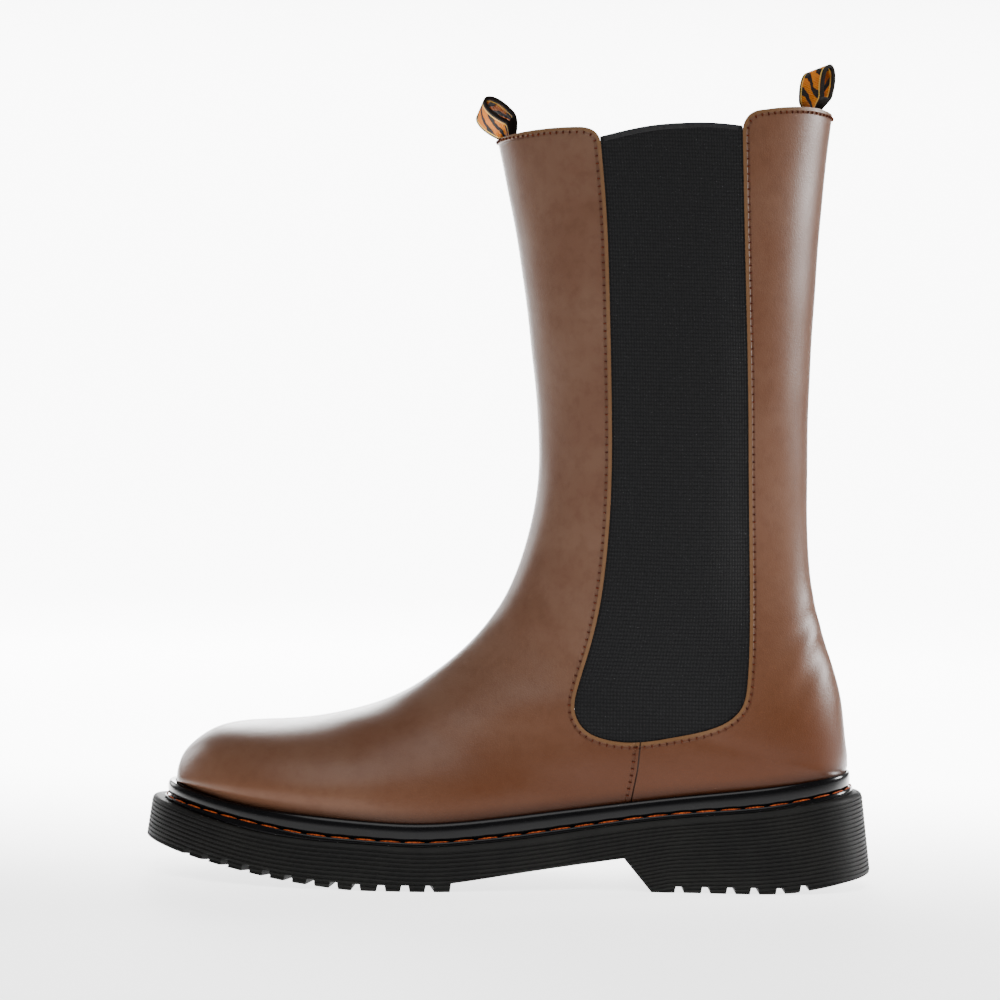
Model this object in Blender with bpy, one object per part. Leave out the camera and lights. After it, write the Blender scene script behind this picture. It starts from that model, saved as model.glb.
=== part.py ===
"""Left mid-calf pull-on boot with elastic side gores, standing on a cleated block-heel sole.

Frame: origin on the floor under the middle of the sole, toe to -X, lateral (outer) side to -Y,
+Z up.  Sizes are in millimetres here and become metres when a mesh is made.
"""

import math

import bmesh
import bpy
import numpy as np

MM = 0.001

# Driving sizes, mm
SOLE_LENGTH = 276.2
GAP = 0.3                     # between pieces that touch on the real boot
WELT_GAP = 0.45               # all round the upper, which is faceted otherwise than the welt
WELT_STRIP = 1.0              # the stitched strip runs out past the bead
WALL = 2.3                    # leather with its lining
GORE_THICKNESS = 1.4
GORE_SINK = 0.5               # gore face below the leather face
LIP = 1.2                     # plain band above the first rib
RIB_PITCH = 2.2
RIB_DEPTH = 0.45
LUG_DEPTH = 2.3
INSOLE_THICKNESS = 5.0
INSOLE_CLEAR = 1.4            # its edge stands in from the upper's wall
TAPE_WIDTH = 14.0
TAPE_THICKNESS = 1.3

# How finely the curved pieces are faceted
OUTLINE_STEPS = 60            # around the sole and the welt
SHAFT_STEPS = 14              # sections of the upper from above the collar to the heel seat
FOOT_STEPS = 26               # and on along the foot to the toe
HALF_STEPS = 12               # from the front line of the upper to one side's lower edge
SHAFT_CROWDING = 1.35         # above 1 the shaft's sections crowd towards the ankle
END_CROWDING = 0.4            # shaft only: points of a section crowd towards its two tight bends
CROWDING_FADE = 60.0          # the same fades out over this much of the way along the foot

# Sole seen from above: widths to the two sides at angles from toe (0) to heel (180), where
# x = -cos(angle) * SOLE_LENGTH / 2.  Flare is how far the side leans out from rim to floor,
# inset how far the upper stands in from the rim.
OUTLINE = (
    # angle, lateral, medial, flare, inset
    (0, -5.0, 5.0, 2.0, 8.9),
    (16, 15.0, 24.8, 2.2, 8.0),
    (32, 31.8, 38.2, 2.2, 6.8),
    (48, 45.4, 48.0, 1.8, 5.4),
    (64, 51.8, 52.2, 1.2, 5.0),
    (80, 50.8, 44.6, 1.0, 4.6),
    (96, 43.2, 33.2, 0.8, 4.2),
    (112, 39.2, 29.0, 1.0, 3.8),
    (128, 39.0, 31.2, 1.8, 3.7),
    (144, 36.4, 29.6, 2.8, 4.7),
    (160, 25.8, 19.0, 3.5, 5.7),
    (180, 3.5, -3.5, 3.8, 6.1),
)

# Heights along the sole: where the upper meets the welt, the foot of the welt's bead, and
# the rim of the outsole; and how far the bead stands out from the upper
SOLE_LINES = (
    # x, feather, bead_foot, rim, bead
    (-138, 36.2, 30.4, 29.4, 3.3),
    (-120, 32.3, 27.0, 25.2, 3.1),
    (-96, 28.2, 23.1, 20.3, 2.9),
    (-73, 26.2, 19.8, 17.8, 2.8),
    (-51, 24.7, 18.4, 16.8, 2.8),
    (-32, 24.2, 17.8, 16.2, 2.8),
    (-14, 25.4, 18.9, 17.3, 2.8),
    (8, 27.9, 21.4, 19.7, 2.7),
    (37, 31.6, 25.7, 24.1, 2.6),
    (67, 35.4, 29.6, 27.9, 2.4),
    (97, 38.8, 32.5, 30.8, 2.1),
    (120, 42.0, 36.3, 34.4, 1.7),
    (138, 44.6, 39.4, 37.0, 1.3),
)

# Underside along the boot: toe spring, flat tread, waist, heel breast, heel and its rear bevel
TOE_SPRING = (
    (-150, 17.2), (-132, 12.2), (-117, 8.8), (-101, 5.9), (-85, 3.2), (-71, 1.35), (-60, 0.35), (-50, 0.0),
)
TREAD_END = -21.0
WAIST = ((-20.6, 3.1), (43.0, 12.4))
HEEL_FRONT = 53.5
HEEL_BEVEL = ((98.0, 0.0), (106.0, 0.5), (113.0, 1.5), (121.0, 3.0), (131.0, 4.6), (150.0, 8.2))

# Side notches between the lugs
FORE_NOTCHES = 12
FORE_LAST_NOTCH = -28.4
FORE_PITCH = 9.11
FORE_PITCH_LOSS = 0.155        # each step towards the toe is this much shorter
HEEL_NOTCHES = 6
HEEL_FIRST_NOTCH = 64.0
HEEL_PITCH = 9.3
NOTCH_TOP = 2.6
NOTCH_FOOT = 4.0
NOTCH_REACH = 19.0
NOTCH_LEAST = 0.55            # share of its reach that a notch keeps round the toe
MIDDLE_FIRST = -98.0          # no middle groove nearer to the toe
MIDDLE_STEP = 12.0            # side notches further apart have no groove between them
MIDDLE_EDGE = 24.5            # a middle groove ends this far in from the sole's edge

# Sections of the upper.  Each lies in a plane that holds the Y direction and runs from a
# point on the front line to one on the back line.  The six widths are measured from y = 0
# to the lateral and medial side, near the front line, half way, and near the back line.
SHAFT_ROWS = (
    # front_x, front_z, front_y, back_x, back_z, lateral front mid back, medial front mid back
    (-12.0, 291.5, -3, 118.8, 306.0, 37.0, 49.0, 36.0, 31.0, 43.0, 30.0),
    (-1.6, 244.0, -3, 114.4, 258.0, 36.2, 48.0, 35.2, 30.2, 42.0, 29.2),
    (5.4, 199.0, -3, 111.9, 212.0, 34.8, 46.0, 33.4, 28.8, 40.0, 27.4),
    (8.7, 162.0, -3, 111.0, 172.0, 32.6, 43.6, 31.2, 26.6, 37.6, 25.2),
    (7.2, 140.0, -3, 111.2, 145.0, 31.0, 41.8, 29.0, 25.0, 35.8, 23.0),
    (2.7, 121.0, -3, 112.6, 121.0, 29.6, 40.8, 27.6, 23.8, 34.8, 21.6),
    (-3.5, 105.5, -2.9, 118.2, 95.5, 28.6, 40.2, 28.4, 23.2, 34.3, 22.2),
    (-9.6, 96.2, -2.8, 125.3, 73.0, 28.4, 39.2, 30.6, 23.4, 33.5, 24.0),
    (-14.4, 90.4, -2.7, 128.2, 52.5, 28.8, 38.2, 32.4, 24.0, 32.6, 25.5),
)
SEAT_ROW = (-16.8, 88.0, -2.6, 128.1, 43.6, 29.2, 37.9, 32.9, 24.4, 32.3, 26.0)
FOOT_ROWS = (
    # front_x, front_z, front_y, seat_x, lateral front mid back, medial front mid back
    (-20.6, 84.6, -2.4, 122.0, 29.8, 38.1, 34.5, 25.2, 32.4, 27.6),
    (-26.6, 79.7, -2.0, 102.0, 30.2, 38.6, 36.9, 26.0, 33.0, 29.8),
    (-34.6, 73.8, -1.4, 72.0, 30.0, 38.6, 37.3, 26.8, 32.6, 29.4),
    (-45.6, 67.7, -0.4, 34.0, 29.6, 39.8, 38.0, 27.8, 33.4, 28.2),
    (-57.4, 63.3, 0.8, -4.0, 29.2, 42.6, 43.6, 28.8, 36.6, 34.0),
    (-69.4, 60.2, 2.0, -36.0, 28.6, 44.4, 47.0, 30.0, 40.6, 42.6),
    (-82.0, 58.4, 3.0, -64.0, 27.4, 43.6, 46.9, 31.0, 43.4, 47.4),
    (-94.5, 57.6, 3.8, -86.0, 24.8, 40.0, 43.2, 30.6, 42.6, 45.8),
    (-106.0, 56.3, 4.4, -103.0, 21.0, 33.8, 36.6, 28.0, 38.6, 41.2),
    (-115.2, 53.1, 4.8, -114.5, 16.0, 26.0, 28.6, 23.4, 32.0, 34.4),
    (-121.9, 48.0, 5.0, -121.6, 10.6, 17.9, 20.0, 18.4, 25.4, 27.4),
    (-125.6, 42.6, 5.1, -125.6, 4.4, 9.6, 11.2, 12.8, 17.6, 19.0),
)
SECTION_FRONT, SECTION_MID, SECTION_BACK = 0.85, 0.50, 0.16   # shares of the way from back line
TUCK_INSET = 0.9              # lower edge of the upper stands in under the bead
WALL_LEAN = ((0.0, 0.0), (40.0, 0.15), (100.0, 0.15), (118.0, 0.0))   # x, lean out at the wall's foot
RELAX_ROWS = 4.0              # sections either side of the heel seat that are evened out
RELAX_PASSES = 6

# Side view of the elastic gore's opening, down the front edge, round the foot, up the back
GORE_EDGE = (
    (28.3, 279.0), (31.0, 254.0), (33.2, 219.0), (34.8, 182.0), (35.4, 148.0), (34.2, 123.0),
    (31.4, 101.0), (27.8, 86.0), (24.4, 74.0), (23.6, 66.5), (27.0, 60.0), (35.0, 56.2),
    (47.0, 55.3), (59.0, 57.1), (70.5, 59.6), (79.0, 62.8), (85.2, 68.2), (87.6, 78.5),
    (88.2, 101.0), (87.7, 124.0), (86.6, 151.0), (85.3, 187.0), (83.6, 222.0), (81.9, 257.0),
    (80.7, 285.0),
)
GORE_FACET = 26.0             # longest straight facet of the opening's edge
GORE_TURN = 0.2               # turn, in radians, from one facet to the next
GORE_TOP = ((28.7, 278.3), (36.0, 280.2), (46.5, 282.4), (57.5, 283.6), (70.0, 284.1), (80.4, 283.6))
FRONT_COLLAR = ((-20.0, 278.7), (-9.5, 280.1), (-4.0, 280.9), (4.0, 281.6), (13.0, 282.0), (20.0, 282.0))
BACK_COLLAR = ((89.0, 290.1), (95.0, 291.3), (103.0, 292.4), (111.0, 292.8), (119.0, 291.9), (128.0, 290.4))
FRONT_CORNER = (28.2, 282.0)  # where the collar and the opening's edge would meet
BACK_CORNER = (80.7, 289.1)
CORNER = 6.5                  # how far from its corner the panel's edge starts to bend
SEAM = ((48.2, 54.6), (47.4, 45.0), (45.4, 33.0))             # front panel's edge under the gore
SEAM_HALF = 0.5               # half width and depth of the seam's groove
SEAM_DEPTH = 0.55
CUT_REACH = 90.0              # cutters run this far to both sides
CUT_PROUD = 4.0               # and stand this far out of what they cut

# Pull loops: where the tape's middle stands on the collar, how its loop leans and twists
LOOPS = (
    # name, y on the collar, front of the boot?, lean out, twist about Z, drop of the far edge
    ("pull_loop_front", -5.0, True, 57.0, 9.0, 22.0),
    ("pull_loop_back", 0.0, False, 7.0, 26.0, 8.0),
)
LOOP_LENGTH = 17.0
LOOP_WIDTH = 6.0
LOOP_BEND = 5.0               # the lean is reached this far up
LOOP_LIFT = 1.8               # the bend starts this far above the collar's edge
LOOP_SEAT = 3.5               # middle of the two layers, in from the collar's inner face
TAB_DEPTH = 9.0
LOOP_STEPS = 9                # facets from the loop's foot to its top
HOLE_START = 3                # the loop's hole starts this many facets up


# ---------------------------------------------------------------- curves

def spline(knots, values, at, start=None, end=None):
    """Cubic curve through values at knots, read at the given places.

    A start or end slope clamps that end; otherwise it is left free.
    """
    knots = np.asarray(knots, float)
    values = np.asarray(values, float)
    step = np.diff(knots)
    count = len(knots)
    system = np.zeros((count, count))
    right = np.zeros(values.shape)
    rise = np.diff(values, axis=0)
    for i in range(1, count - 1):
        before, after = step[i - 1], step[i]
        system[i, i - 1] = 1 / before
        system[i, i] = 2 / before + 2 / after
        system[i, i + 1] = 1 / after
        right[i] = 3 * (rise[i - 1] / before ** 2 + rise[i] / after ** 2)
    for row, near, slope in ((0, 1, start), (count - 1, count - 2, end)):
        if slope is None:
            span = abs(knots[near] - knots[row])
            system[row, row] = 2 / span
            system[row, near] = 1 / span
            right[row] = 3 * rise[min(row, near)] / span ** 2
        else:
            system[row, row] = 1
            right[row] = slope
    slopes = np.linalg.solve(system, right)
    at = np.atleast_1d(np.asarray(at, float))
    cell = np.clip(np.searchsorted(knots, at) - 1, 0, count - 2)
    width = step[cell]
    t = (at - knots[cell]) / width
    if values.ndim > 1:
        t = t[:, None]
        width = width[:, None]
    a, b = values[cell], values[cell + 1]
    da, db = slopes[cell] * width, slopes[cell + 1] * width
    return (2 * t ** 3 - 3 * t ** 2 + 1) * a + (t ** 3 - 2 * t ** 2 + t) * da \
        + (3 * t ** 2 - 2 * t ** 3) * b + (t ** 3 - t ** 2) * db


def path_spline(points, count, start=None, end=None, crowding=0.0):
    """Smooth curve through points, read at count places along it.

    They are evenly spread, or closer together at both ends where crowding is above 0.
    """
    points = np.asarray(points, float)
    knots = np.concatenate([[0], np.cumsum(np.linalg.norm(np.diff(points, axis=0), axis=1))])
    fine = spline(knots, points, np.linspace(0, knots[-1], 12 * len(points)), start, end)
    length = np.concatenate([[0], np.cumsum(np.linalg.norm(np.diff(fine, axis=0), axis=1))])
    share = np.linspace(0, 1, count)
    at = length[-1] * (share - crowding * np.sin(2 * math.pi * share) / (2 * math.pi))
    return np.stack([np.interp(at, length, fine[:, k]) for k in range(fine.shape[1])], axis=1)


def table_line(table, column):
    """A height or size read along x from one column of a table."""
    rows = np.array(table, float)
    return lambda x: spline(rows[:, 0], rows[:, column], x)


# ---------------------------------------------------------------- sole outline

feather_z = table_line(SOLE_LINES, 1)
bead_foot_z = table_line(SOLE_LINES, 2)
rim_z = table_line(SOLE_LINES, 3)
bead_out = table_line(SOLE_LINES, 4)


def base_z(x):
    """Height of the untrimmed tread: toe spring, floor, then the heel's rear bevel."""
    toe = np.array(TOE_SPRING)
    heel = np.array(HEEL_BEVEL)
    x = np.asarray(x, float)
    spring = spline(toe[:, 0], toe[:, 1], x, end=0)
    bevel = spline(heel[:, 0], heel[:, 1], x, start=0)
    return np.where(x < toe[-1, 0], spring, np.where(x > heel[0, 0], bevel, 0.0))


def outline_columns(angles):
    """Signed y, flare and inset of the outline at angles from -180 (lateral) to 180 degrees."""
    rows = np.array(OUTLINE, float)
    lateral = np.stack([-rows[:, 0], -rows[:, 1], rows[:, 3], rows[:, 4]], axis=1)[::-1]
    medial = rows[:, [0, 2, 3, 4]]
    once = np.concatenate([lateral[:-1], medial[:-1]])
    turn = np.array([360.0, 0, 0, 0])
    table = np.concatenate([once - turn, once, once + turn])
    return spline(table[:, 0], table[:, 1:], angles)


def outline(angles, inset=0.0, from_feather=None, from_rim=None):
    """Points of the sole's outline seen from above, moved in along its normal.

    The inset counts from the floor outline, or from the rim, or from the line where the
    upper meets the welt, and a negative one moves out.
    """
    angles = np.asarray(angles, float)
    half = SOLE_LENGTH / 2

    def place(degrees):
        return np.stack([-half * np.cos(np.radians(degrees)), outline_columns(degrees)[:, 0]], axis=1)

    along = place(angles + 0.5) - place(angles - 0.5)
    along /= np.linalg.norm(along, axis=1)[:, None]
    inward = np.stack([along[:, 1], -along[:, 0]], axis=1)
    columns = outline_columns(angles)
    depth = np.full(len(angles), 0.0) + inset
    if from_rim is not None:
        depth = columns[:, 1] + from_rim
    if from_feather is not None:
        depth = columns[:, 1] + columns[:, 2] + from_feather
    return place(angles) + inward * depth[:, None]


RING_ANGLES = np.arange(OUTLINE_STEPS) * 360.0 / OUTLINE_STEPS
RING_ANGLES = np.where(RING_ANGLES > 180, RING_ANGLES - 360, RING_ANGLES)


def seat_side(side):
    """Feather outline of one side (-1 lateral, 1 medial) as x, y and slope dy/dx, heel to toe."""
    angles = side * np.linspace(179.9, 0.1, 400)
    points = outline(angles, from_feather=0.0)
    slope = np.gradient(points[:, 1]) / np.gradient(points[:, 0])
    return points[:, 0][::-1], points[:, 1][::-1], slope[::-1]


SEAT = {side: seat_side(side) for side in (-1, 1)}
HEEL_SEAT = outline(np.array([180.0]), from_feather=0.0)[0]
TOE_SEAT = outline(np.array([0.0]), from_feather=0.0)[0]


# ---------------------------------------------------------------- upper surface

def upper_keys():
    """All key sections in one array, with the place of each along the upper.

    Columns: front x z y, back x z, lateral front mid back, medial front mid back.
    """
    rows = [list(row) for row in SHAFT_ROWS + (SEAT_ROW,)]
    for row in FOOT_ROWS:
        seat = row[3]
        rows.append([*row[:3], seat, feather_z(seat)[0], *row[4:]])
    toe = [TOE_SEAT[0], feather_z(TOE_SEAT[0])[0]]
    rows.append([*toe, TOE_SEAT[1], *toe] + [-TOE_SEAT[1]] * 3 + [TOE_SEAT[1]] * 3)
    rows = np.array(rows, float)
    rows[len(SHAFT_ROWS), 3:5] = HEEL_SEAT[0], feather_z(HEEL_SEAT[0])[0]
    step = np.linalg.norm(np.diff(rows[:, :2], axis=0), axis=1)
    step += np.linalg.norm(np.diff(rows[:, 3:5], axis=0), axis=1)
    return np.concatenate([[0], np.cumsum(step)]), rows


UPPER_PLACES, UPPER_KEYS = upper_keys()
SEAT_PLACE = UPPER_PLACES[len(SHAFT_ROWS)]
TOE_PLACE = UPPER_PLACES[-1]


def section(place, steps):
    """One section of the upper, lateral lower end over the front line to the medial one."""
    row = spline(UPPER_PLACES, UPPER_KEYS, [place])[0]
    front_x, front_z, front_y, back_x, back_z = row[:5]
    open_below = place > SEAT_PLACE + 1e-6
    if open_below:
        back_x = min(back_x, HEEL_SEAT[0] - 0.01)
        back_z = feather_z(back_x)[0]
    chord = np.array([front_x - back_x, front_z - back_z])
    length = np.linalg.norm(chord)
    chord /= length
    crowding = END_CROWDING * np.clip(1 - (place - SEAT_PLACE) / CROWDING_FADE, 0, 1)
    halves = []
    for side, widths in ((-1, row[5:8]), (1, row[8:11])):
        if open_below:
            xs, ys, slopes = SEAT[side]
            end_y = np.interp(back_x, xs, ys)
            lean = np.interp(back_x, *np.array(WALL_LEAN).T)
            leave = np.array([1.0, chord[0] * np.interp(back_x, xs, slopes) + side * lean])
        else:
            end_y = HEEL_SEAT[1]
            leave = np.array([0.0, side])
        leave /= np.linalg.norm(leave)
        if leave[0] < 0:
            leave = -leave
        shares = (SECTION_BACK, SECTION_MID, SECTION_FRONT)
        points = [(0.0, end_y)]
        points += [(length * share, side * width) for share, width in zip(shares, widths[::-1])]
        points += [(length, front_y)]
        halves.append(path_spline(points, steps + 1, leave, np.array([0.0, -side]), crowding))
    flat = np.concatenate([halves[0], halves[1][::-1][1:]])
    return np.stack([back_x + chord[0] * flat[:, 0], flat[:, 1], back_z + chord[1] * flat[:, 0]], axis=1)


def row_places():
    """Where the sections lie: closer together towards the ankle, then even along the feather."""
    shaft = SEAT_PLACE * (1 - np.linspace(1, 0, SHAFT_STEPS + 1) ** SHAFT_CROWDING)
    edge = outline(np.linspace(180, 0, 800), from_feather=0.0)
    length = np.concatenate([[0], np.cumsum(np.linalg.norm(np.diff(edge, axis=0), axis=1))])
    seats = np.interp(np.linspace(0, length[-1], FOOT_STEPS + 1)[1:-1], length, edge[:, 0])
    fine = np.linspace(SEAT_PLACE, TOE_PLACE, 2000)
    backs = np.minimum.accumulate(spline(UPPER_PLACES, UPPER_KEYS[:, 3], fine))
    return np.concatenate([shaft, np.interp(-seats, -backs, fine)]), SHAFT_STEPS


def relaxed(rings, closed):
    """Even out the turn where the sections start to open along the feather line.

    Points move along their normals only, out again after each step in so the sheet keeps its
    size, and most near the turn.
    """
    rows = np.arange(len(rings))[1:-1, None]
    share = np.arange(rings.shape[1])[None, 1:-1] / (rings.shape[1] - 1)
    weight = np.exp(-((rows - closed) / RELAX_ROWS) ** 2) * np.minimum(1, 12 * np.minimum(share, 1 - share))
    for strength in (0.5, -0.52) * RELAX_PASSES:
        inside = rings[1:-1, 1:-1]
        down = rings[2:, 1:-1] - rings[:-2, 1:-1]
        over = rings[1:-1, 2:] - rings[1:-1, :-2]
        normal = np.cross(down, over)
        normal /= np.linalg.norm(normal, axis=2)[:, :, None]
        mean = (rings[2:, 1:-1] + rings[:-2, 1:-1] + rings[1:-1, 2:] + rings[1:-1, :-2]) / 4
        shift = ((mean - inside) * normal).sum(axis=2) * weight * strength
        rings = rings.copy()
        rings[1:-1, 1:-1] += normal * shift[:, :, None]
    return rings


def upper_sheet():
    """Outer face of the upper as points and faces: sections, toe, and the edge behind the bead."""
    places, closed = row_places()
    points = []
    numbers = []
    last = 2 * HALF_STEPS
    rings = relaxed(np.array([section(place, HALF_STEPS) for place in places]), closed)
    for row, ring in enumerate(rings):
        first = len(points)
        if row <= closed:
            ring[0, 1] = ring[last, 1] = HEEL_SEAT[1]
            points.extend(ring[:-1])
            numbers.append([first + k for k in range(last)] + [first])
        else:
            points.extend(ring)
            numbers.append([first + k for k in range(last + 1)])
    faces = []
    for above, below in zip(numbers, numbers[1:]):
        for k in range(last):
            corners = (above[k], above[k + 1], below[k + 1], below[k])
            faces.append(tuple(dict.fromkeys(corners)))
    toe = len(points)
    points.append(np.array([*TOE_SEAT, feather_z(TOE_SEAT[0])[0]]))
    faces += [(numbers[-1][k], numbers[-1][k + 1], toe) for k in range(last)]
    rim = [row[0] for row in numbers[closed:]] + [toe] + [row[last] for row in numbers[:closed:-1]]
    return add_tuck(points, faces, rim)


def add_tuck(points, faces, rim):
    """Carry the lower edge of the upper down behind the bead to the outsole."""
    edge = np.array([points[number] for number in rim])
    along = np.roll(edge, -1, axis=0) - np.roll(edge, 1, axis=0)
    inward = np.stack([-along[:, 1], along[:, 0]], axis=1)
    inward /= -np.linalg.norm(inward, axis=1)[:, None]
    above = rim
    for share in (0.5, 1.0):
        ring = edge.copy()
        ring[:, :2] += inward * TUCK_INSET * share
        foot = rim_z(edge[:, 0]) + GAP
        ring[:, 2] += (foot - edge[:, 2]) * share
        below = list(range(len(points), len(points) + len(rim)))
        points.extend(ring)
        for k in range(len(rim)):
            after = (k + 1) % len(rim)
            faces.append((above[k], above[after], below[after], below[k]))
        above = below
    return points, faces


def side_y(x, z, side, steps=24):
    """y of the upper's outer face at a place in side view, on side -1 or 1."""
    low, high = 0.0, TOE_PLACE - 0.01
    for _ in range(26):
        place = (low + high) / 2
        ring = section(place, 2)
        front, back = ring[2], ring[0]
        turn = (front[0] - back[0]) * (z - back[2]) - (front[2] - back[2]) * (x - back[0])
        if turn < 0:
            high = place
        else:
            low = place
    ring = section(place, steps)
    half = ring[:steps + 1] if side < 0 else ring[steps:][::-1]
    across = (half[:, 0] - half[0, 0]) * (half[-1, 0] - half[0, 0])
    across += (half[:, 2] - half[0, 2]) * (half[-1, 2] - half[0, 2])
    target = (x - half[0, 0]) * (half[-1, 0] - half[0, 0]) + (z - half[0, 2]) * (half[-1, 2] - half[0, 2])
    return float(np.interp(target, across, half[:, 1]))


# ---------------------------------------------------------------- mesh helpers

def material(name, colour, roughness, metallic=0.0):
    """A plain Principled material."""
    made = bpy.data.materials.new(name)
    made.use_nodes = True
    shader = made.node_tree.nodes["Principled BSDF"]
    shader.inputs["Base Color"].default_value = (*colour, 1.0)
    shader.inputs["Roughness"].default_value = roughness
    shader.inputs["Metallic"].default_value = metallic
    made.diffuse_color = (*colour, 1.0)
    return made


def mesh_object(name, points, faces, surface=None, angle=35.0):
    """An object from points in millimetres, with its faces turned outwards."""
    mesh = bpy.data.meshes.new(name)
    mesh.from_pydata([tuple(float(c) * MM for c in point) for point in points], [], faces)
    work = bmesh.new()
    work.from_mesh(mesh)
    bmesh.ops.recalc_face_normals(work, faces=work.faces)
    work.to_mesh(mesh)
    work.free()
    mesh.shade_smooth()
    mesh.set_sharp_from_angle(angle=math.radians(angle))
    made = bpy.data.objects.new(name, mesh)
    bpy.context.scene.collection.objects.link(made)
    if surface is not None:
        mesh.materials.append(surface)
    return made


def as_cutter(made):
    """Mark an object as a cutter, which isn't part of the boot."""
    made.hide_render = True
    made.display_type = 'WIRE'
    made.data.shade_flat()
    return made


def boolean(target, cutter, operation='DIFFERENCE'):
    """Cut target with another object."""
    modifier = target.modifiers.new(operation.lower(), 'BOOLEAN')
    modifier.operation = operation
    modifier.solver = 'EXACT'
    modifier.object = cutter


def solidify(target, thickness):
    """Give a sheet a wall that grows inwards."""
    modifier = target.modifiers.new("wall", 'SOLIDIFY')
    modifier.thickness = thickness * MM
    modifier.offset = -1.0
    modifier.use_even_offset = True


def prism(name, side_view, y_low, y_high):
    """Closed solid: a polygon in side view (x, z) carried from one y to another."""
    count = len(side_view)
    points = [(x, y, z) for y in (y_low, y_high) for x, z in side_view]
    faces = [tuple(range(count)), tuple(range(2 * count - 1, count - 1, -1))]
    faces += [(k, k + count, (k + 1) % count + count, (k + 1) % count) for k in range(count)]
    return as_cutter(mesh_object(name, points, faces))


def ring_faces(rings, count):
    """Quads between successive closed rings of count points."""
    faces = []
    for ring in range(rings - 1):
        for k in range(count):
            after = (k + 1) % count
            here = ring * count
            faces.append((here + k, here + after, here + count + after, here + count + k))
    return faces


def cap_faces(start, count):
    """Flat cap of an outline ring, as strips across the boot from toe to heel."""
    half = count // 2
    faces = [(start, start + 1, start + count - 1)]
    for k in range(1, half - 1):
        faces.append((start + k, start + k + 1, start + count - k - 1, start + count - k))
    faces.append((start + half - 1, start + half, start + half + 1))
    return faces


# ---------------------------------------------------------------- outsole

def sole_rings():
    """Rings of the ribbed side, from the rim down past the deepest part of the heel."""
    rim = outline(RING_ANGLES, from_rim=0.0)
    floor = outline(RING_ANGLES)
    tall = rim_z(rim[:, 0]) - base_z(rim[:, 0])
    stretch = np.interp(rim[:, 0], (20, 60, 130), (1.0, 0.86, 1.0))
    deepest = rim_z(SOLE_LENGTH / 2)[0] + 3
    rings = [(outline(RING_ANGLES, from_rim=0.5), 0.0), (rim, 0.3), (rim, LIP)]
    steps = int((deepest - LIP) / (RIB_PITCH / 2))
    inward = (outline(RING_ANGLES, from_rim=1.0) - rim)
    for step in range(1, steps + 1):
        depth = LIP + step * RIB_PITCH / 2
        lean = np.clip(depth * stretch / tall, 0, 1.1)[:, None]
        ring = rim + (floor - rim) * lean
        if step % 2:
            ring = ring + inward * RIB_DEPTH
        rings.append((ring, depth))
    points = []
    for ring, depth in rings:
        heights = rim_z(ring[:, 0]) - depth * stretch
        points += [(x, y, z) for (x, y), z in zip(ring, heights)]
    return points, len(rings)


def underside():
    """Side view of everything under the sole, for cutting its lower face."""
    toe = [(x, base_z(x).item()) for x in np.linspace(-150, TOE_SPRING[-1][0], 13)]
    heel = [(x, base_z(x).item()) for x in np.linspace(HEEL_BEVEL[0][0], 150, 7)]
    below = [(150, -40), (-150, -40)]
    tread = [(TREAD_END, 0.0), *WAIST, (HEEL_FRONT, 0.0)]
    return toe + tread + heel + below


def notch_places():
    """x of each side notch, with whether it is under the heel."""
    x = FORE_LAST_NOTCH
    for step in range(FORE_NOTCHES):
        yield x, False
        x -= FORE_PITCH - FORE_PITCH_LOSS * step
    for step in range(HEEL_NOTCHES):
        yield HEEL_FIRST_NOTCH + HEEL_PITCH * step, True


def notch_body(outer, inner, points, faces):
    """One trapezoid channel from outside the outline to its inner end."""
    along = np.array([inner[0] - outer[0], inner[1] - outer[1]])
    across = np.array([-along[1], along[0]]) / np.linalg.norm(along)
    first = len(points)
    for x, y in (outer, inner):
        base = base_z(x).item()
        for width, height in ((-NOTCH_FOOT, -1.0), (-NOTCH_TOP, LUG_DEPTH), (NOTCH_TOP, LUG_DEPTH),
                              (NOTCH_FOOT, -1.0)):
            place = np.array([x, y]) + across * width / 2
            points.append((place[0], place[1], base + height))
    faces += [tuple(first + k for k in face) for face in (
        (0, 1, 2, 3), (7, 6, 5, 4), (0, 4, 5, 1), (1, 5, 6, 2), (2, 6, 7, 3), (3, 7, 4, 0))]


def notches():
    """All side notches and the grooves between the middle lugs."""
    points, faces = [], []
    for side in (-1, 1):
        angles = side * np.linspace(2, 178, 600)
        edge = outline(angles)
        inside = outline(angles, inset=1.0)
        for x, under_heel in notch_places():
            k = int(np.argmin(abs(edge[:, 0] - x)))
            inward = inside[k] - edge[k]
            if under_heel:
                inward = np.array([0.0, -side * 1.0])
            reach = NOTCH_REACH * (NOTCH_LEAST + (1 - NOTCH_LEAST) * abs(inward[1]))
            notch_body(edge[k] - inward * CUT_PROUD, edge[k] + inward * reach, points, faces)
    for x in middle_grooves():
        lateral, medial = middle_span(x)
        notch_body((x, lateral), (x, medial), points, faces)
    return points, faces


def middle_grooves():
    """x of the grooves across the middle of the tread, half a step from the side notches."""
    places = sorted(x for x, _ in notch_places())
    between = [(a + b) / 2 for a, b in zip(places, places[1:]) if b - a < MIDDLE_STEP]
    return [x for x in between if x > MIDDLE_FIRST]


def middle_span(x):
    """The two ends, in y, of a middle groove."""
    sides = []
    for side in (-1, 1):
        angles = side * np.linspace(2, 178, 600)
        edge = outline(angles)
        sides.append(edge[int(np.argmin(abs(edge[:, 0] - x))), 1] - side * MIDDLE_EDGE)
    return sides


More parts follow.
